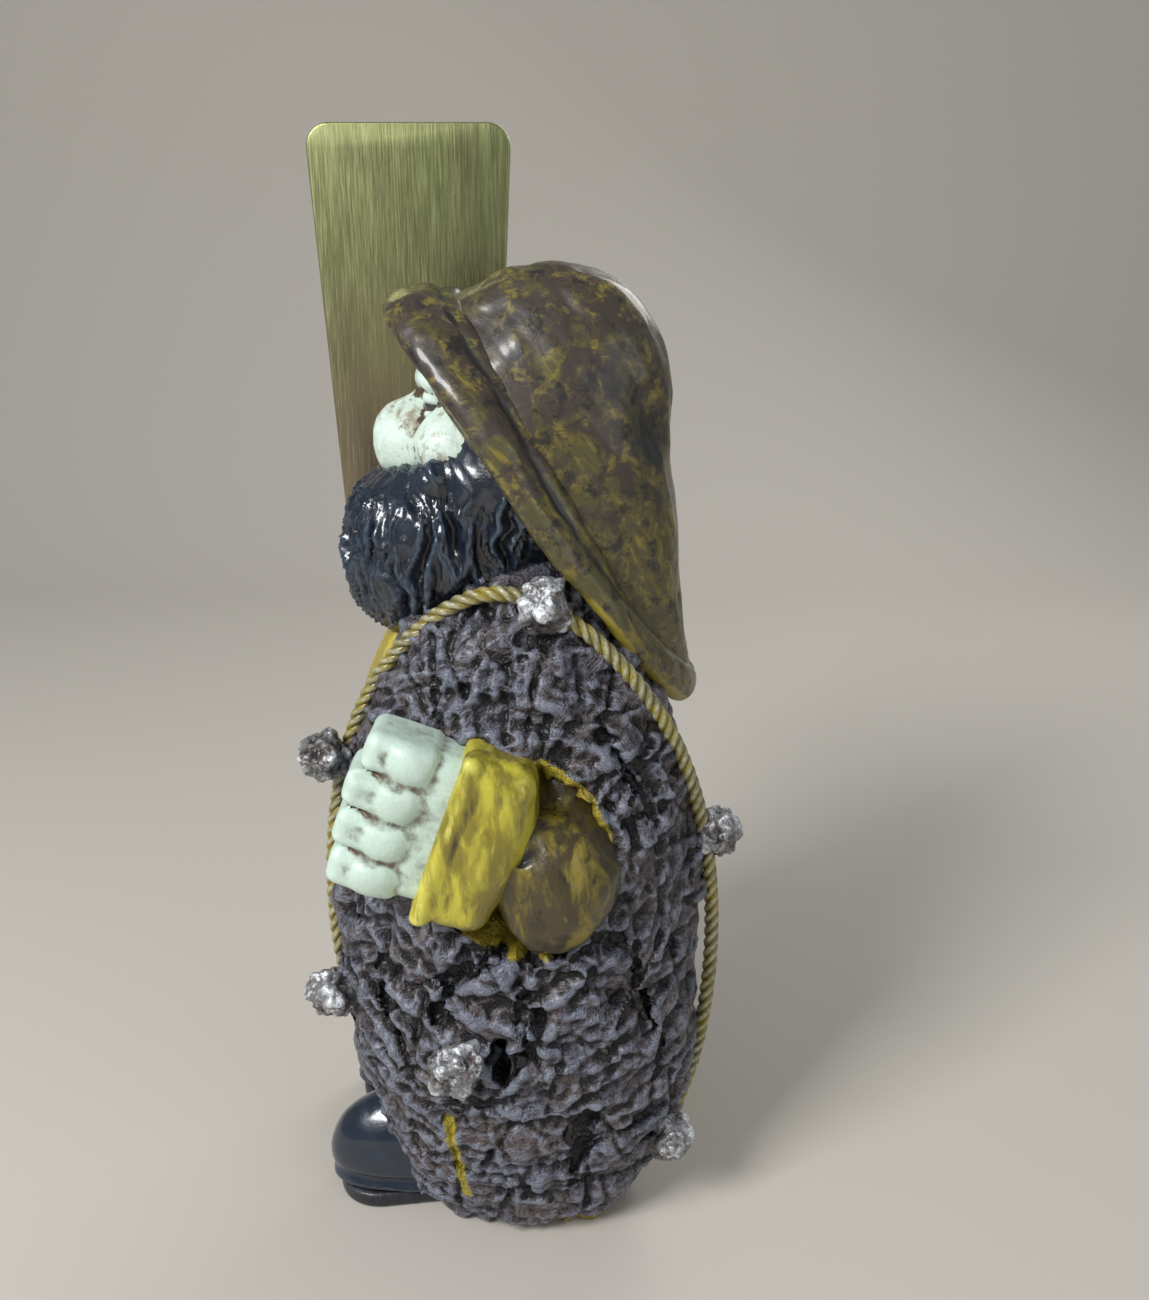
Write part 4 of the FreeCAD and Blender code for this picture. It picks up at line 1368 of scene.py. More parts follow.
@dataclass(frozen=True)
class Arm:
    """A sleeve bent at the elbow, its turned-back cuff, and a closed fist."""

    side: Side
    fist_x: float
    fist_y: float
    fist_z: float
    tilt: float
    shoulder_out: float
    cuff_behind: float = 12.6
    finger_pitch: float = 6.9
    finger_half: Point = (6.0, 5.8, 3.3)
    finger_back: tuple[float, ...] = (1.3, 0.3, 0.0, 1.2)
    back_half: Point = (8.8, 6.4, 13.0)
    finger_round: float = 1.9
    knuckle: Lump = Lump((-1.4, 6.4, 0), (3.4, 1.8, 2.9), 1.4)
    finger_gap: Bar = Bar((-12, 7.0, 0), (-1.0, 8.0, -0.9), 1.7, 0.6, 0.5)
    thumb: Bar = Bar((6, -4.5, 9), (-7, -5.5, 3.5), 3.3, 2.9, 1.2)
    wrist: Bar = Bar((9, 0, 0), (14, 0, 0), 6.2, 6.0, 2.5)
    shoulder_x: float = 8.0
    shoulder_below_neck: float = 19.0
    neck_above_hem: float = 83.0
    sleeve_radius: float = 9.0
    arm_out: float = 21.0
    upper_arm: float = 29.5
    elbow_ahead: float = -0.6
    slot_half: Point = (4.4, 1.5, 40.0)
    cuff_half: Point = (6.3, 8.5, 15.2)
    hand_paint: CastPaint = CastPaint(
        "hand_paint", base=(0.64, 0.80, 0.70), blotch=(0.58, 0.72, 0.62),
        wash=(0.10, 0.065, 0.035), rubbed_and_highlight=(0.74, 0.90, 0.82), blotch_size=9.0,
        wash_from=0.47, wash_to=0.66, patchy=0.25, roughness=0.45, coat=0.15)
    cuff_paint: CastPaint = CastPaint(
        "cuff_paint", base=(0.25, 0.20, 0.016), blotch=(0.60, 0.53, 0.045),
        wash=(0.045, 0.028, 0.008), rubbed_and_highlight=(0.78, 0.72, 0.14), blotch_size=6.0,
        wash_from=0.47, wash_to=0.72, rub_and_highlight_from=0.40, rub_and_highlight_to=0.22, patchy=0.5,
        streak=(1.0, 1.0, 0.18), roughness=0.32, coat=0.55)
    sleeve_paint: CastPaint = CastPaint(
        "sleeve_paint", base=(0.058, 0.042, 0.012), blotch=(0.25, 0.19, 0.018),
        wash=(0.010, 0.008, 0.004), rubbed_and_highlight=(0.24, 0.20, 0.03), blotch_size=5.5,
        blotch_from=0.57, wash_from=0.48, wash_to=0.70, rub_and_highlight_from=0.34, rub_and_highlight_to=0.12, patchy=0.8,
        streak=(1.0, 1.0, 0.4), roughness=0.36, coat=0.4)

    @property
    def fist(self) -> Array:
        """The middle of the fist."""
        return np.array([self.fist_x, self.fist_y, self.fist_z])

    @property
    def turn(self) -> Array:
        """The fist's own axes: X backwards, Y across, Z up the stack of fingers."""
        return turn_about(1, self.tilt)

    def at(self, x: float, y: float, z: float) -> Array:
        """A place given in the fist's own axes; y is outwards from the body."""
        return self.fist + self.turn @ np.array([x, y * self.side.value, z])

    def build(self) -> None:
        """The hand, the cuff and the sleeve."""
        self.hand()
        self.cuff()
        self.sleeve()

    def hand(self) -> None:
        """The fist: four blocky fingers folded forward of a flat back, and a thumb."""
        word = self.side.word
        reach = np.array([16, 9, 18])
        clay = Clay(self.fist - reach, self.fist + reach, 0.42)
        s, turn = self.side.value, self.turn
        clay.add(clay.block(self.at(2.4, 0.2, 0), self.back_half, 3.2, turn))
        for number, back in enumerate(self.finger_back):
            lift = (number - 1.5) * self.finger_pitch
            finger = clay.block(self.at(-4.2 + back, 1.1, lift), self.finger_half,
                                self.finger_round, turn)
            clay.add(finger, 0.5)
            clay.press(self.knuckle, self.at(0, 0, lift), s, turn)
        for gap in (-1, 0, 1):
            clay.carve(self.finger_gap, self.at(0, 0, gap * self.finger_pitch), s, turn)
        clay.press(self.thumb, self.fist, s, turn)
        clay.press(self.wrist, self.fist, s, turn)
        if self.side is Side.RIGHT:
            x, y, half = self.slot_centre()
            clay.cut(clay.block((x, y, self.fist_z), half, 0.3))
        skin = clay.harden()
        grain = Grain(51 + self.side.value)
        skin.push(grain.layers(skin.points, 8.0, 3) * 0.22)
        skin.mark_hollows(0.30, 7)
        settle(skin.build(f"{word}_fist", self.hand_paint.material()), "hand_paint", f"{word}_hand")

    def slot_centre(self) -> tuple[float, float, Point]:
        """The middle of the oar's slot in plan, and its half sizes."""
        oar = Span.of("oar_opener")
        return float(oar.centre[0]), float(oar.centre[1]), self.slot_half

    def cuff(self) -> None:
        """The cuff: a thick turned-back roll, fuller away from the hand."""
        word = self.side.word
        middle = self.at(self.cuff_behind, 0, 0)
        reach = np.array([15, 10, 19])
        clay = Clay(middle - reach, middle + reach, 0.45)
        a, b, c = self.cuff_half
        clay.add(clay.block(middle, self.cuff_half, 4.0, self.turn))
        clay.add(clay.egg(self.at(self.cuff_behind + 1.6, 0.6, 0), (a + 1.6, b + 0.4, c * 0.88),
                          self.turn), 2.0)
        lip = clay.block(self.at(self.cuff_behind - a + 1.4, 0.2, 0), (1.7, b + 0.3, c + 0.2), 1.5,
                         self.turn)
        clay.add(lip, 0.9)
        clay.cut(clay.block(self.at(self.cuff_behind - a - 1.2, 0, 0), (2.0, b - 2.0, c - 2.6), 1.6,
                            self.turn), 0.8)
        if self.side is Side.RIGHT:
            x, y, half = self.slot_centre()
            clay.cut(clay.block((x, y, middle[2]), (half[0] + 0.4, half[1] + 0.4, half[2]), 0.3))
        skin = clay.harden()
        local = (skin.points - self.fist) @ self.turn
        grain = Grain(61 + self.side.value)
        creases = grain.ridges(local, (5.0, 8.0, 26.0), 2)
        skin.push((creases - 0.5) * 0.25 + grain.layers(local, (2.5, 4, 14), 2) * 0.10)
        skin.mark_hollows(0.30, 7)
        settle(skin.build(f"{word}_cuff_roll", self.cuff_paint.material()), "cuff_yellow",
               f"{word}_cuff")

    def sleeve(self) -> None:
        """The sleeve: down from the shoulder, round the elbow and forward to the cuff."""
        word = self.side.word
        s = self.side.value
        hem = Span.of("left_trouser").high[2]
        neck = hem + self.neck_above_hem
        lean = math.radians(self.arm_out)
        down = np.array([0, s * math.sin(lean), -math.cos(lean)])
        middle_y = Head().centre()[1]
        shoulder = np.array([self.shoulder_x, middle_y + s * self.shoulder_out,
                             neck - self.shoulder_below_neck])
        elbow = shoulder + down * self.upper_arm + [self.elbow_ahead, 0, 0]
        wrist = self.at(self.cuff_behind + 4.0, 0, 0)
        low = np.minimum(np.minimum(shoulder, elbow), wrist) - 12
        high = np.maximum(np.maximum(shoulder, elbow), wrist) + 12
        clay = Clay(low, high, 0.5)
        r = self.sleeve_radius
        clay.add(clay.rod(shoulder - [0, s * 8.0, 2], elbow - [0, s * 1.5, 0], r - 1.6, r - 0.8))
        clay.add(clay.rod(elbow, wrist, r - 0.1, r - 1.6), 3.5)
        clay.add(clay.egg(elbow + [-1.4, 0, -0.5], (r + 0.6, r - 0.2, r + 3.6)), 2.5)
        crease = elbow + [-7.5, s * 7.0, 7.0]
        for drop in (0.0, 5.0):
            clay.cut(clay.rod(crease + [1, 0, drop], crease + [9, s * 1.5, drop + 6], 0.8, 0.4), 1.2)
        if self.side is Side.RIGHT:
            x, y, half = self.slot_centre()
            clay.cut(clay.block((x, y, shoulder[2]), (half[0] + 1, half[1] + 1, 80), 0.3))
        skin = clay.harden()
        grain = Grain(71 + s)
        p = skin.points
        skin.push((grain.ridges(p, (11, 11, 17), 2) - 0.45) * 0.75 + grain.layers(p, 4.5, 2) * 0.15)
        skin.mark_hollows(0.32, 8)
        settle(skin.build(f"{word}_sleeve_cloth", self.sleeve_paint.material()), "sleeve_oilskin",
               f"{word}_sleeve")


@dataclass(frozen=True)
class Leg:
    """A sea boot with its sole, and the trouser leg tucked into it."""

    side: Side
    toe_out: float = 8.0
    foot_ahead: float = 17.0
    foot_half: Point = (19.0, 9.2, 13.2)
    foot_height: float = 8.6
    shaft_radius: float = 8.2
    welt: float = 0.9
    # The bluish crest colour is a painted highlight on the glossy enamel.
    boot_paint: CastPaint = CastPaint(
        "boot_enamel", base=(0.008, 0.016, 0.032), blotch=(0.012, 0.026, 0.050),
        wash=(0.002, 0.003, 0.006), rubbed_and_highlight=(0.03, 0.05, 0.085), blotch_size=9.0,
        wash_from=0.62, wash_to=0.9, rub_and_highlight_from=0.3, rub_and_highlight_to=0.05, roughness=0.28,
        coat=0.8, coat_roughness=0.14, pit_size=1.6, pit_depth=0.08)
    sole_paint: CastPaint = CastPaint(
        "sole_paint", base=(0.012, 0.013, 0.018), blotch=(0.02, 0.02, 0.024),
        wash=(0.004, 0.004, 0.005), rubbed_and_highlight=(0.05, 0.055, 0.07), blotch_size=5.0,
        roughness=0.45, coat=0.3)
    cloth_paint: CastPaint = CastPaint(
        "trouser_paint", base=(0.050, 0.055, 0.070), blotch=(0.070, 0.070, 0.080),
        wash=(0.012, 0.012, 0.016), rubbed_and_highlight=(0.12, 0.12, 0.14), blotch_size=4.0,
        roughness=0.5, coat=0.2)

    def build(self) -> None:
        """The sole, the boot and the trouser leg."""
        word, s = self.side.word, self.side.value
        sole = Span.of(f"{word}_sole")
        trouser = Span.of(f"{word}_trouser")
        axis = np.array([trouser.centre[0], trouser.centre[1], 0.0])
        turn = turn_about(2, -s * self.toe_out)
        thick = sole.high[2]
        plate = sole.centre.copy()
        clay = Clay(sole.low - 1, sole.high + 1, 0.4)
        half = (22.6, 8.3, thick / 2)
        clay.add(clay.slab(plate + turn @ np.array([1.2, 0, 0]), half, 8.0, 0.9, turn))
        arch = plate + turn @ np.array([4.0, 0, -thick / 2])
        clay.cut(clay.block(arch, (4.0, 12, 0.7), 0.4, turn), 0.3)
        skin = clay.harden()
        skin.push(Grain(80 + s).layers(skin.points, 4.0, 2) * 0.08 * (skin.points[:, 2] > 0.5))
        skin.points[:, 2] = np.maximum(skin.points[:, 2], 0.0)
        settle(skin.mark_hollows(0.25, 6).build(f"{word}_boot_sole", self.sole_paint.material()),
               "boot_sole", f"{word}_sole")

        ahead = turn @ np.array([-1.0, 0, 0])
        foot = axis + ahead * self.foot_ahead + [0, 0, self.foot_height]
        top = trouser.low[2]
        clay = Clay(np.minimum(foot, axis) - [21, 12, 10], np.maximum(axis, foot) + [12, 12, top], 0.5)
        clay.add(clay.egg(foot, self.foot_half, turn))
        clay.add(clay.rod(axis + [0, 0, 8], axis + [0, 0, top + 8], self.shaft_radius), 4.0)
        clay.add(clay.ring(axis + [0, 0, top - 2.2], self.shaft_radius - 0.4, 1.5, 2.1), 0.5)
        for lift in (13.0, 17.5):
            crease = axis + ahead * (self.shaft_radius + 1.5) + [0, 0, lift]
            out = turn @ np.array([0, 9.0, 0])
            clay.cut(clay.rod(crease - out, crease + out, 0.8), 1.6)
        clay.keep(np.maximum(thick - clay.grid[2], clay.grid[2] - top) + 0 * clay.field, 0.5)
        skin = clay.harden()
        local = (skin.points - foot) @ turn
        welt = np.exp(-((skin.points[:, 2] - thick - 1.1) / 0.7) ** 2)
        groove = np.exp(-((skin.points[:, 2] - thick - 2.7) / 0.6) ** 2)
        flat = np.clip((skin.points[:, 2] - thick) / 0.4, 0, 1)
        skin.push((welt * self.welt - groove * 0.35 + Grain(83 + s).layers(local, 12.0, 2) * 0.35) * flat)
        settle(skin.mark_hollows(0.4, 8).build(f"{word}_sea_boot", self.boot_paint.material()),
               "boot_enamel", f"{word}_boot")

        r = trouser.half[0] - 0.3
        low, high = trouser.low[2], trouser.high[2]
        clay = Clay(axis + [-r - 1, -r - 1, low], axis + [r + 1, r + 1, high], 0.45)
        clay.add(clay.rod(axis + [0, 0, low - 20], axis + [0, 0, high + 20], r))
        clay.keep(np.maximum(low - clay.grid[2], clay.grid[2] - high) + 0 * clay.field, 0.6)
        skin = clay.harden()
        skin.push((Grain(86 + s).ridges(skin.points, (5, 5, 9), 2) - 0.5) * 0.6)
        settle(skin.mark_hollows(0.3, 6).build(f"{word}_trouser_leg", self.cloth_paint.material()),
               "trouser_cloth", f"{word}_trouser")


# ---------------------------------------------------------------------------
# The net, its line and its floats
# ---------------------------------------------------------------------------

@dataclass(frozen=True)
class Net:
    """The crumpled net, from the left shoulder to the ground, with the arm coming through it."""

    middle: Point = (-0.6, -8.5, 62.0)
    half: Point = (33.3, 23.5, 64.6)
    low_middle: Point = (0.8, -9.5, 36.5)
    low_half: Point = (31.2, 23.4, 46.0)
    arm_hole: Point = (1.0, -31.0, 79.0)
    arm_hole_half: Point = (14.6, 15.0, 17.2)
    arm_hole_tilt: float = -10.0
    step: float = 0.55
    crease_count: int = 300
    fold_depth: float = 2.3
    shard_count: int = 900
    shard_lift: float = 0.24
    shard_tip: float = 0.22
    slits: tuple[tuple[Point, Point, float], ...] = (
        ((-8.0, -29, 64.0), (-15.0, -29, 49.0), 1.9),
        ((0.3, -32, 62.0), (0.8, -32, 48.5), 1.5),
        ((11.6, -29, 31.0), (9.2, -27, 14.0), 1.7),
        ((-12.8, -27, 29.0), (-10.0, -23, 12.0), 0.9),
        ((21.0, -27, 52.0), (25.0, -25, 40.0), 0.9),
        ((14.0, -27, 100.0), (24.0, -23, 82.0), 1.0),
        ((-24.0, -24, 58.0), (-22.5, -24, 44.0), 1.1),
        ((16.0, -28, 66.0), (21.0, -27, 57.0), 0.6))
    finish: CrumpledGauze = CrumpledGauze()

    def build(self) -> None:
        """Model the drape, crumple it and mark where the coat's yellow shows."""
        clay = Clay((-36, -34, 0), (38, -4, 128), self.step)
        clay.add(clay.egg(self.middle, self.half))
        clay.add(clay.egg(self.low_middle, self.low_half), 4.0)
        behind = clay.grid[1] + 8.5 + 0 * clay.field
        clay.keep(behind, 3.0)
        clay.keep(-clay.grid[2] + 0 * clay.field, 1.2)
        hole = clay.egg(self.arm_hole, self.arm_hole_half, turn_about(1, self.arm_hole_tilt))
        clay.cut(np.maximum(hole, clay.grid[1] + 17.0), 1.4)
        for start, end, wide in self.slits:
            clay.cut(clay.rod(self.on_face(start), self.on_face(end), wide, wide * 0.5), 0.6)
        hollow = Span.of("net_float_5").centre + [7.6, 2.0, 0.5]
        clay.cut(clay.egg(hollow, (2.6, 5.5, 4.2)), 0.8)
        skin = clay.harden()
        self.crumple(skin)
        skin.points[:, 2] = np.maximum(skin.points[:, 2], 0.15)
        skin.mark_hollows(0.36, 5)
        self.mark_bare(skin)
        settle(skin.build("net_gauze", self.finish.material()), "net_gauze", "net_drape")

    def on_face(self, spot: Point) -> Point:
        """The place on the drape's outer face in front of a spot.

        Args:
            spot: a place; its Y is not read.

        Returns:
            The same place with Y on the face.
        """
        reaches = []
        for middle, half in ((self.middle, self.half), (self.low_middle, self.low_half)):
            x, z = (spot[0] - middle[0]) / half[0], (spot[2] - middle[2]) / half[2]
            reaches.append(middle[1] - half[1] * math.sqrt(max(1 - x * x - z * z, 0)))
        return (spot[0], min(reaches) + 0.3, spot[2])

    def crumple(self, skin: Skin) -> None:
        """Drape folds round the arm, then crumpling, then straight creases that cross.

        Args:
            skin: the drape's skin.
        """
        grain = Grain(91)
        p = skin.points
        out = np.clip((-8.0 - p[:, 1]) / 5, 0, 1)
        away = p[:, [0, 2]] - np.array([self.arm_hole[0], self.arm_hole[2] - 4])
        reach = np.hypot(*away.T)
        angle = np.arctan2(away[:, 1], away[:, 0])
        rings = np.stack([reach / 5.2, angle * 2.6, np.full(len(p), 0.7)], axis=1)
        drape = grain.ridges(rings, 1.0, 2)
        skin.push((drape - 0.5) * self.fold_depth * out)
        skin.push(skin.evened(self.shards(p), 1) * out)
        skin.push(self.creases(skin.points) * out)
        fine = grain.ridges(p + 40, (2.0, 2.0, 4.4), 2)
        skin.push((fine - 0.5) * 0.08 * out)

    def shards(self, points: Array) -> Array:
        """Long flat shards of stiff gauze, each lying at its own height and lean.

        Args:
            points: the skin's points.

        Returns:
            How far outwards each point moves.
        """
        draw = np.random.default_rng(93)
        seeds = draw.uniform((-36, 0), (38, 126), (self.shard_count, 2))
        upright = draw.random(self.shard_count) < 0.6
        lean = draw.normal(0, 0.55, self.shard_count) + np.where(upright, math.pi / 2, 0.35)
        along = np.stack([np.cos(lean), np.sin(lean)], axis=1)
        lift = draw.normal(0, self.shard_lift, self.shard_count)
        tip = draw.normal(0, self.shard_tip, self.shard_count)
        height = np.empty(len(points))
        for block in np.array_split(np.arange(len(points)), 60):
            away = points[block][:, None, [0, 2]] - seeds
            run = (away * along).sum(axis=2)
            across = away[..., 0] * along[:, 1] - away[..., 1] * along[:, 0]
            near = np.hypot(run * 0.3, across).argmin(axis=1)
            rows = np.arange(len(block))
            height[block] = lift[near] + across[rows, near] * tip[near]
        return height

    def creases(self, points: Array) -> Array:
        """Straight creases and crests at every angle.

        Args:
            points: the skin's points.

        Returns:
            How far outwards each point moves.
        """
        draw = np.random.default_rng(92)
        flat = points[:, [0, 2]]
        total = np.zeros(len(points))
        for _ in range(self.crease_count):
            start = draw.uniform((-36, 0), (38, 126))
            lean = draw.normal(0, 0.55) + (math.pi / 2 if draw.random() < 0.62 else 0.35)
            length = draw.uniform(4, 17)
            wide = draw.uniform(0.34, 0.62)
            depth = draw.uniform(0.35, 1.1) * (-1 if draw.random() < 0.8 else 0.6)
            along = np.array([math.cos(lean), math.sin(lean)])
            near = np.abs(flat - start).max(axis=1) < length + 2
            away = flat[near] - start
            run = np.clip(away @ along, 0, length)
            gap = np.hypot(*(away - run[:, None] * along).T)
            total[near] += depth * np.exp(-(gap / wide) ** 1.4)
        return np.clip(total, -1.7, 1.1)

    def mark_bare(self, skin: Skin) -> None:
        """Mark the rim of the arm's hole, low creases and the hem, where the coat shows.

        Args:
            skin: the drape's skin.
        """
        p = skin.points
        turn = turn_about(1, self.arm_hole_tilt)
        local = ((p - self.arm_hole) @ turn) / self.arm_hole_half
        rim = (np.hypot(local[:, 0], local[:, 2]) - 1) * 16
        bare = np.exp(-((rim + 0.3) / 1.1) ** 2) * (p[:, 1] > -30.5) * 0.95
        bare = np.maximum(bare, (rim < 0.2) * 0.7)
        for start, end, wide in self.slits[3:4]:
            a, b = np.array(start)[[0, 2]], np.array(end)[[0, 2]]
            away, axis = p[:, [0, 2]] - a, b - a
            run = np.clip(away @ axis / (axis @ axis), 0, 1)
            gap = np.hypot(*(away - run[:, None] * axis).T)
            bare = np.maximum(bare, np.exp(-(gap / (wide * 1.5)) ** 2) * 0.8)
        edge = np.exp(-((p[:, 1] + 9.0) / 2.2) ** 2) * 0.75
        hem = np.exp(-(p[:, 2] / 3.0) ** 2) * (p[:, 0] > 2) * 0.7
        skin.mark("bare", np.maximum(bare, np.maximum(edge, hem)))


def tree_with(name: str, sizes: dict[str, float]) -> tuple[bpy.types.NodeTree, dict[str, str]]:
    """A geometry node tree with an input for each named size.

    Args:
        name: the tree's name.
        sizes: each input's name and its usual value.

    Returns:
        The tree, and each input's identifier by its name.
    """
    tree = bpy.data.node_groups.new(name, "GeometryNodeTree")
    tree.interface.new_socket("Geometry", in_out="INPUT", socket_type="NodeSocketGeometry")
    tree.interface.new_socket("Geometry", in_out="OUTPUT", socket_type="NodeSocketGeometry")
    keys = {}
    for size, value in sizes.items():
        socket = tree.interface.new_socket(size, in_out="INPUT", socket_type="NodeSocketFloat")
        socket.default_value = value
        keys[size] = socket.identifier
    return tree, keys


class Wiring:
    """Short forms for laying out a geometry node tree."""

    def __init__(self, tree: bpy.types.NodeTree) -> None:
        """Start with the tree's own input and output.

        Args:
            tree: the tree to add nodes to.
        """
        self.tree = tree
        self.start = self.add("NodeGroupInput")
        self.end = self.add("NodeGroupOutput")

    def add(self, kind: str, settings: dict[str, str] | None = None,
            **inputs: object) -> bpy.types.Node:
        """A node with its settings, and its inputs set or linked by name (_ for a space).

        Args:
            kind: the node's type.
            settings: its own options.
            inputs: each input and what it takes; i and a number counts them.

        Returns:
            The node.
        """
        node = self.tree.nodes.new(kind)
        for name, value in (settings or {}).items():
            setattr(node, name, value)
        for name, value in inputs.items():
            slot = node.inputs[int(name[1:])] if name[1:].isdigit() else node.inputs[
                name.replace("_", " ")]
            if isinstance(value, bpy.types.NodeSocket):
                self.tree.links.new(slot, value)
            else:
                slot.default_value = value
        return node

    def work(self, operation: str, a: object, b: object = 0.0) -> bpy.types.NodeSocket:
        """One step of arithmetic."""
        return self.add("ShaderNodeMath", {"operation": operation}, i0=a, i1=b).outputs[0]

    def finish(self, geometry: bpy.types.NodeSocket, material: bpy.types.Material) -> None:
        """End the tree with real geometry in its material.

        Args:
            geometry: what the tree has made.
            material: its finish.
        """
        real = self.add("GeometryNodeRealizeInstances", Geometry=geometry)
        smooth = self.add("GeometryNodeSetShadeSmooth", Geometry=real.outputs[0])
        dressed = self.add("GeometryNodeSetMaterial", Geometry=smooth.outputs[0],
                           Material=material)
        self.tree.links.new(self.end.inputs[0], dressed.outputs[0])


def grown(name: str, seed_mesh: bpy.types.Mesh, tree: bpy.types.NodeTree,
          values: dict[str, float]) -> bpy.types.Object:
    """Run a tree on a mesh and keep the result as a plain mesh.

    Args:
        name: the new piece's name.
        seed_mesh: the mesh that the tree grows from.
        tree: the geometry node tree.
        values: the value for each of the tree's input identifiers.

    Returns:
        The piece's object.
    """
    carrier = link(bpy.data.objects.new(name + "_seed", seed_mesh))
    modifier = carrier.modifiers.new("grow", "NODES")
    modifier.node_group = tree
    for key, value in values.items():
        modifier[key] = value
    depsgraph = bpy.context.evaluated_depsgraph_get()
    mesh = bpy.data.meshes.new_from_object(carrier.evaluated_get(depsgraph))
    mesh.name = name
    carrier.modifiers.remove(modifier)
    bpy.data.objects.remove(carrier)
    return link(bpy.data.objects.new(name, mesh))


STRANDS = 3
STRAND_SIDES = 10


@dataclass(frozen=True)
class FloatLine:
    """The three-stranded rope round the edge of the net, held to it all the way."""

    strand_radius: float = 0.72
    lay_radius: float = 0.66
    pitch: float = 7.0
    spacing: float = 0.6
    # The pale crest colour of the strands is partly pale paint and partly a painted highlight.
    paint: CastPaint = CastPaint(
        "line_rope_paint", base=(0.19, 0.165, 0.06), blotch=(0.30, 0.235, 0.03),
        wash=(0.020, 0.016, 0.008), rubbed_and_highlight=(0.52, 0.52, 0.36), blotch_size=6.0,
        wash_from=0.44, wash_to=0.60, rub_and_highlight_from=0.32, rub_and_highlight_to=0.14, patchy=0.35,
        roughness=0.36, coat=0.5, pit_size=0.5, pit_depth=0.15)
    route: tuple[Point, ...] = (
        (18.0, -15.0, 6.5), (24.5, -14.5, 12.5), (30.0, -13.5, 22.0), (33.8, -12.3, 38.0),
        (35.0, -11.0, 58.0), (32.6, -12.5, 78.0), (27.2, -15.8, 95.0), (20.0, -19.3, 107.0),
        (10.5, -20.5, 117.5), (-2.5, -19.0, 123.5), (-14.5, -16.0, 117.5),
        (-25.5, -11.5, 104.5), (-31.8, -10.5, 88.0), (-34.4, -11.0, 69.0),
        (-33.6, -12.0, 50.0), (-29.0, -12.0, 32.0), (-21.5, -12.5, 20.0), (-15.5, -15.0, 11.0))

    def path(self) -> bpy.types.Mesh:
        """The rope's own line, read from a smooth spline through its route.

        Returns:
            The line as a mesh of edges.
        """
        curve = bpy.data.curves.new("line_route", "CURVE")
        curve.dimensions = "3D"
        spline = curve.splines.new("NURBS")
        spline.points.add(len(self.route) - 1)
        for point, spot in zip(spline.points, self.route):
            point.co = (*(s * MM for s in spot), 1.0)
        spline.order_u = 3
        spline.use_endpoint_u = True
        spline.resolution_u = 16
        carrier = link(bpy.data.objects.new("line_route", curve))
        depsgraph = bpy.context.evaluated_depsgraph_get()
        mesh = bpy.data.meshes.new_from_object(carrier.evaluated_get(depsgraph))
        bpy.data.objects.remove(carrier)
        return mesh

    def tree(self, material: bpy.types.Material) -> tuple[bpy.types.NodeTree, dict[str, str]]:
        """Strands wound round a line of edges.

        Args:
            material: the rope's finish.

        Returns:
            The tree, and each input's identifier by its name.
        """
        tree, keys = tree_with("wound_rope", {
            "Pitch": self.pitch * MM, "Lay Radius": self.lay_radius * MM,
            "Strand Radius": self.strand_radius * MM, "Spacing": self.spacing * MM})
        w = Wiring(tree)
        given = w.start.outputs
        line = w.add("GeometryNodeMeshToCurve", Mesh=given["Geometry"])
        fine = w.add("GeometryNodeResampleCurve", {"mode": "LENGTH"}, Curve=line.outputs[0],
                     Length=given["Spacing"])
        upright = w.add("GeometryNodeSetCurveNormal", {"mode": "MINIMUM_TWIST"},
                        Curve=fine.outputs[0])
        normal = w.add("GeometryNodeInputNormal").outputs[0]
        tangent = w.add("GeometryNodeInputTangent").outputs[0]
        side = w.add("ShaderNodeVectorMath", {"operation": "CROSS_PRODUCT"}, i0=tangent, i1=normal)
        length = w.add("GeometryNodeSplineParameter").outputs["Length"]
        turns = w.work("MULTIPLY", w.work("DIVIDE", length, given["Pitch"]), 2 * math.pi)
        ring = w.add("GeometryNodeCurvePrimitiveCircle", {"mode": "RADIUS"}, Resolution=STRAND_SIDES,
                     Radius=given["Strand Radius"])
        joined = w.add("GeometryNodeJoinGeometry")
        for strand in range(STRANDS):
            angle = w.work("ADD", turns, strand * 2 * math.pi / STRANDS)
            parts = []
            for operation, direction in (("COSINE", normal), ("SINE", side.outputs[0])):
                reach = w.work("MULTIPLY", w.work(operation, angle), given["Lay Radius"])
                scaled = w.add("ShaderNodeVectorMath", {"operation": "SCALE"}, i0=direction,
                               Scale=reach)
                parts.append(scaled.outputs[0])
            offset = w.add("ShaderNodeVectorMath", {"operation": "ADD"}, i0=parts[0], i1=parts[1])
            moved = w.add("GeometryNodeSetPosition", Geometry=upright.outputs[0],
                          Offset=offset.outputs[0])
            tube = w.add("GeometryNodeCurveToMesh", Curve=moved.outputs[0],
                         Profile_Curve=ring.outputs[0])
            tube.inputs["Fill Caps"].default_value = True
            tree.links.new(joined.inputs[0], tube.outputs[0])
        w.finish(joined.outputs[0], material)
        return tree, keys

    def build(self) -> None:
        """Wind the rope and mark the grooves between its strands."""
        tree, keys = self.tree(self.paint.material())
        rope = grown("float_line_rope", self.path(), tree, {
            keys["Pitch"]: self.pitch * MM, keys["Lay Radius"]: self.lay_radius * MM,
            keys["Strand Radius"]: self.strand_radius * MM})
        mark_grooves(rope, self.lay_radius + self.strand_radius)
        settle(rope, "line_rope", "float_line")


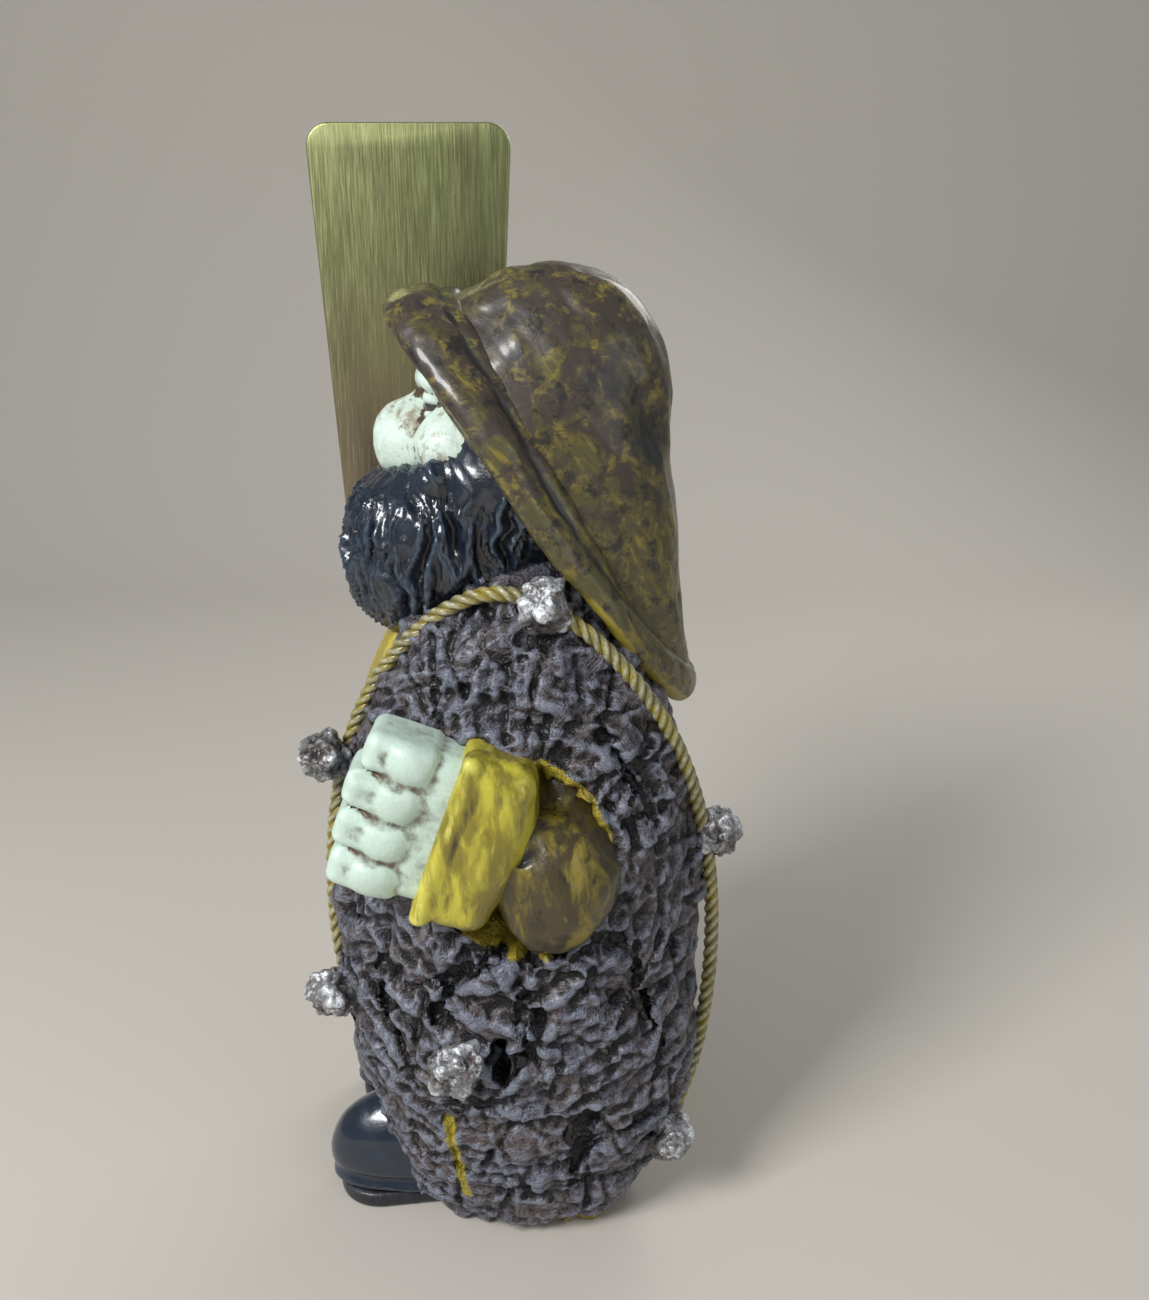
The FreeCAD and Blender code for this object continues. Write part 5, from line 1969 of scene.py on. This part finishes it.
def mark_grooves(rope: bpy.types.Object, reach_of_crest: float) -> None:
    """Mark the grooves between a rope's strands, by each point's distance from its middle.

    Args:
        rope: the rope, whose strands follow one another in its mesh, ring by ring.
        reach_of_crest: from the rope's middle to the outside of a strand, in millimetres.
    """
    mesh = rope.data
    spots = np.empty(len(mesh.vertices) * 3)
    mesh.vertices.foreach_get("co", spots)
    rings = (spots / MM).reshape(STRANDS, -1, STRAND_SIDES, 3)
    core = rings.mean(axis=(0, 2))
    reach = np.linalg.norm(rings - core[:, None], axis=3).ravel()
    hollow = np.clip(1.22 - reach / reach_of_crest, 0, 1)
    mesh.attributes.new("hollow", "FLOAT", "POINT").data.foreach_set("value", hollow)


@dataclass(frozen=True)
class Floats:
    """The lumpy silvered floats along the net."""

    count: int = 6
    lump: float = 0.115
    lump_size: float = 0.72
    # The near-white crest colour is partly silver paint and partly a painted highlight.
    paint: CastPaint = CastPaint(
        "float_silver_paint", base=(0.26, 0.26, 0.27), blotch=(0.10, 0.075, 0.07),
        wash=(0.018, 0.015, 0.014), rubbed_and_highlight=(0.80, 0.84, 0.88), blotch_size=3.4,
        blotch_from=0.52, wash_from=0.52, wash_to=0.72, rub_and_highlight_from=0.49, rub_and_highlight_to=0.30,
        patchy=0.7, roughness=0.3, coat=0.5, metallic=0.35, pit_size=0.7, pit_depth=0.3)

    def tree(self, material: bpy.types.Material) -> tuple[bpy.types.NodeTree, dict[str, str]]:
        """A ball on each point, dented by noise that differs from float to float.

        Args:
            material: the floats' finish.

        Returns:
            The tree, and each input's identifier by its name.
        """
        tree, keys = tree_with("lumpy_floats", {"Lump": self.lump, "Lump Size": self.lump_size})
        w = Wiring(tree)
        given = w.start.outputs
        points = w.add("GeometryNodeMeshToPoints", Mesh=given["Geometry"])
        ball = w.add("GeometryNodeMeshIcoSphere", Radius=1.0, Subdivisions=5)
        size = w.add("GeometryNodeInputNamedAttribute", {"data_type": "FLOAT"},
                     Name="ball_radius")
        placed = w.add("GeometryNodeInstanceOnPoints", Points=points.outputs[0],
                       Instance=ball.outputs[0], Scale=size.outputs[0])
        real = w.add("GeometryNodeRealizeInstances", Geometry=placed.outputs[0])
        where = w.add("GeometryNodeInputPosition").outputs[0]
        normal = w.add("GeometryNodeInputNormal").outputs[0]
        scale = w.work("DIVIDE", 1.0 / (5 * MM), given["Lump Size"])
        noise = w.add("ShaderNodeTexNoise", Vector=where, Scale=scale, Detail=3.0)
        lift = w.work("SUBTRACT", noise.outputs[0], 0.56)
        kept = w.add("GeometryNodeStoreNamedAttribute",
                     {"data_type": "FLOAT", "domain": "POINT"}, Geometry=real.outputs[0],
                     Name="hollow", Value=w.work("SUBTRACT", 1.0, noise.outputs[0]))
        reach = w.work("MULTIPLY", w.work("MULTIPLY", lift, given["Lump"]), 20 * 5 * MM / 2)
        push = w.add("ShaderNodeVectorMath", {"operation": "SCALE"}, i0=normal, Scale=reach)
        moved = w.add("GeometryNodeSetPosition", Geometry=kept.outputs[0], Offset=push.outputs[0])
        w.finish(moved.outputs[0], material)
        return tree, keys

    def build(self) -> None:
        """All the floats in one mesh."""
        nodes = [f"net_float_{n}" for n in range(1, self.count + 1)]
        spans = [Span.of(node) for node in nodes]
        seed = bpy.data.meshes.new("float_places")
        seed.from_pydata([tuple(s.centre * MM) for s in spans], [], [])
        radii = seed.attributes.new("ball_radius", "FLOAT", "POINT")
        radii.data.foreach_set("value", [float(s.half.max()) * MM * 0.99 for s in spans])
        tree, keys = self.tree(self.paint.material())
        floats = grown("net_floats", seed, tree, {keys["Lump"]: self.lump,
                                                  keys["Lump Size"]: self.lump_size})
        settle(floats, "float_silver", *nodes)


# ---------------------------------------------------------------------------
# Floor, light and camera
# ---------------------------------------------------------------------------

@dataclass(frozen=True)
class Studio:
    """A pale sweep of floor, soft light from the upper left, and the camera."""

    floor_colour: Colour = (0.62, 0.58, 0.52)
    half_width: float = 1400.0
    bend: float = 260.0
    camera_place: Point = (9.5, -213.5, 175.7)
    camera_down: float = 18.0
    lens: float = 34.615

    def build(self) -> None:
        """Everything round the object."""
        self.floor()
        self.lamps()
        self.camera()

    def floor(self) -> None:
        """The floor, which curves up into a wall behind the object."""
        r = Recipe("studio_paper")
        r.set(Base_Color=self.floor_colour, Roughness=0.9)
        steps = 24
        back = 420.0
        outline = [(-900.0, 0.0), (back, 0.0)]
        outline += [(back + self.bend * math.sin(a), self.bend * (1 - math.cos(a)))
                    for a in np.linspace(0, math.pi / 2, steps)[1:]]
        outline.append((back + self.bend, 1600.0))
        spots = [(x * MM, y * MM, z * MM) for y, z in outline
                 for x in (-self.half_width, self.half_width)]
        faces = [(2 * i, 2 * i + 1, 2 * i + 3, 2 * i + 2) for i in range(len(outline) - 1)]
        mesh = bpy.data.meshes.new("studio_floor")
        mesh.from_pydata(spots, [], faces)
        mesh.shade_smooth()
        mesh.materials.append(r.material)
        link(bpy.data.objects.new("studio_floor", mesh))

    def lamps(self) -> None:
        """A large soft key, a weak fill, a rim light from behind and an even sky."""
        aim = np.array([0.0, 0.0, 90.0])
        for name, place, size, power in (
                ("key", (-380.0, -400.0, 520.0), 240.0, 4.3),
                ("fill", (420.0, -380.0, 300.0), 420.0, 0.45),
                ("rim", (260.0, 420.0, 420.0), 300.0, 0.8)):
            lamp = bpy.data.lights.new(name, "AREA")
            lamp.size = size * MM
            lamp.energy = power
            obj = link(bpy.data.objects.new(name, lamp))
            obj.location = np.array(place) * MM
            facing = Vector([float(v) for v in aim - np.array(place)])
            obj.rotation_euler = facing.to_track_quat("-Z", "Y").to_euler()
        world = bpy.data.worlds.new("studio")
        bpy.context.scene.world = world
        world.use_nodes = True
        sky = world.node_tree.nodes["Background"]
        sky.inputs["Color"].default_value = (0.86, 0.93, 1.0, 1.0)
        sky.inputs["Strength"].default_value = 0.27

    def camera(self) -> None:
        """The camera, a little above the hat and looking down."""
        lens = bpy.data.cameras.new("camera")
        lens.lens = self.lens
        lens.clip_start, lens.clip_end = 0.01, 20.0
        obj = link(bpy.data.objects.new("camera", lens))
        obj.location = [c * MM for c in self.camera_place]
        obj.rotation_euler = (math.radians(90 - self.camera_down), 0, 0)
        bpy.context.scene.camera = obj
        bpy.context.scene.view_settings.view_transform = "Standard"


def main() -> None:
    """Build the studio and every sub-assembly in order."""
    logging.basicConfig(level=logging.INFO, format="%(message)s")
    Studio().build()
    Oar().build()
    Hat().build()
    Head().build()
    Beard().build()
    Coat().build()
    slot = Span.of("oar_opener").centre
    Arm(Side.LEFT, fist_x=-18.2, fist_y=-28.0, fist_z=88.4, tilt=19.5, shoulder_out=21.0).build()
    Arm(Side.RIGHT, fist_x=float(slot[0]), fist_y=float(slot[1]), fist_z=80.0, tilt=0.0,
        shoulder_out=16.0).build()
    for side in Side:
        Leg(side).build()
    Net().build()
    FloatLine().build()
    Floats().build()


if __name__ == "__main__":
    main()
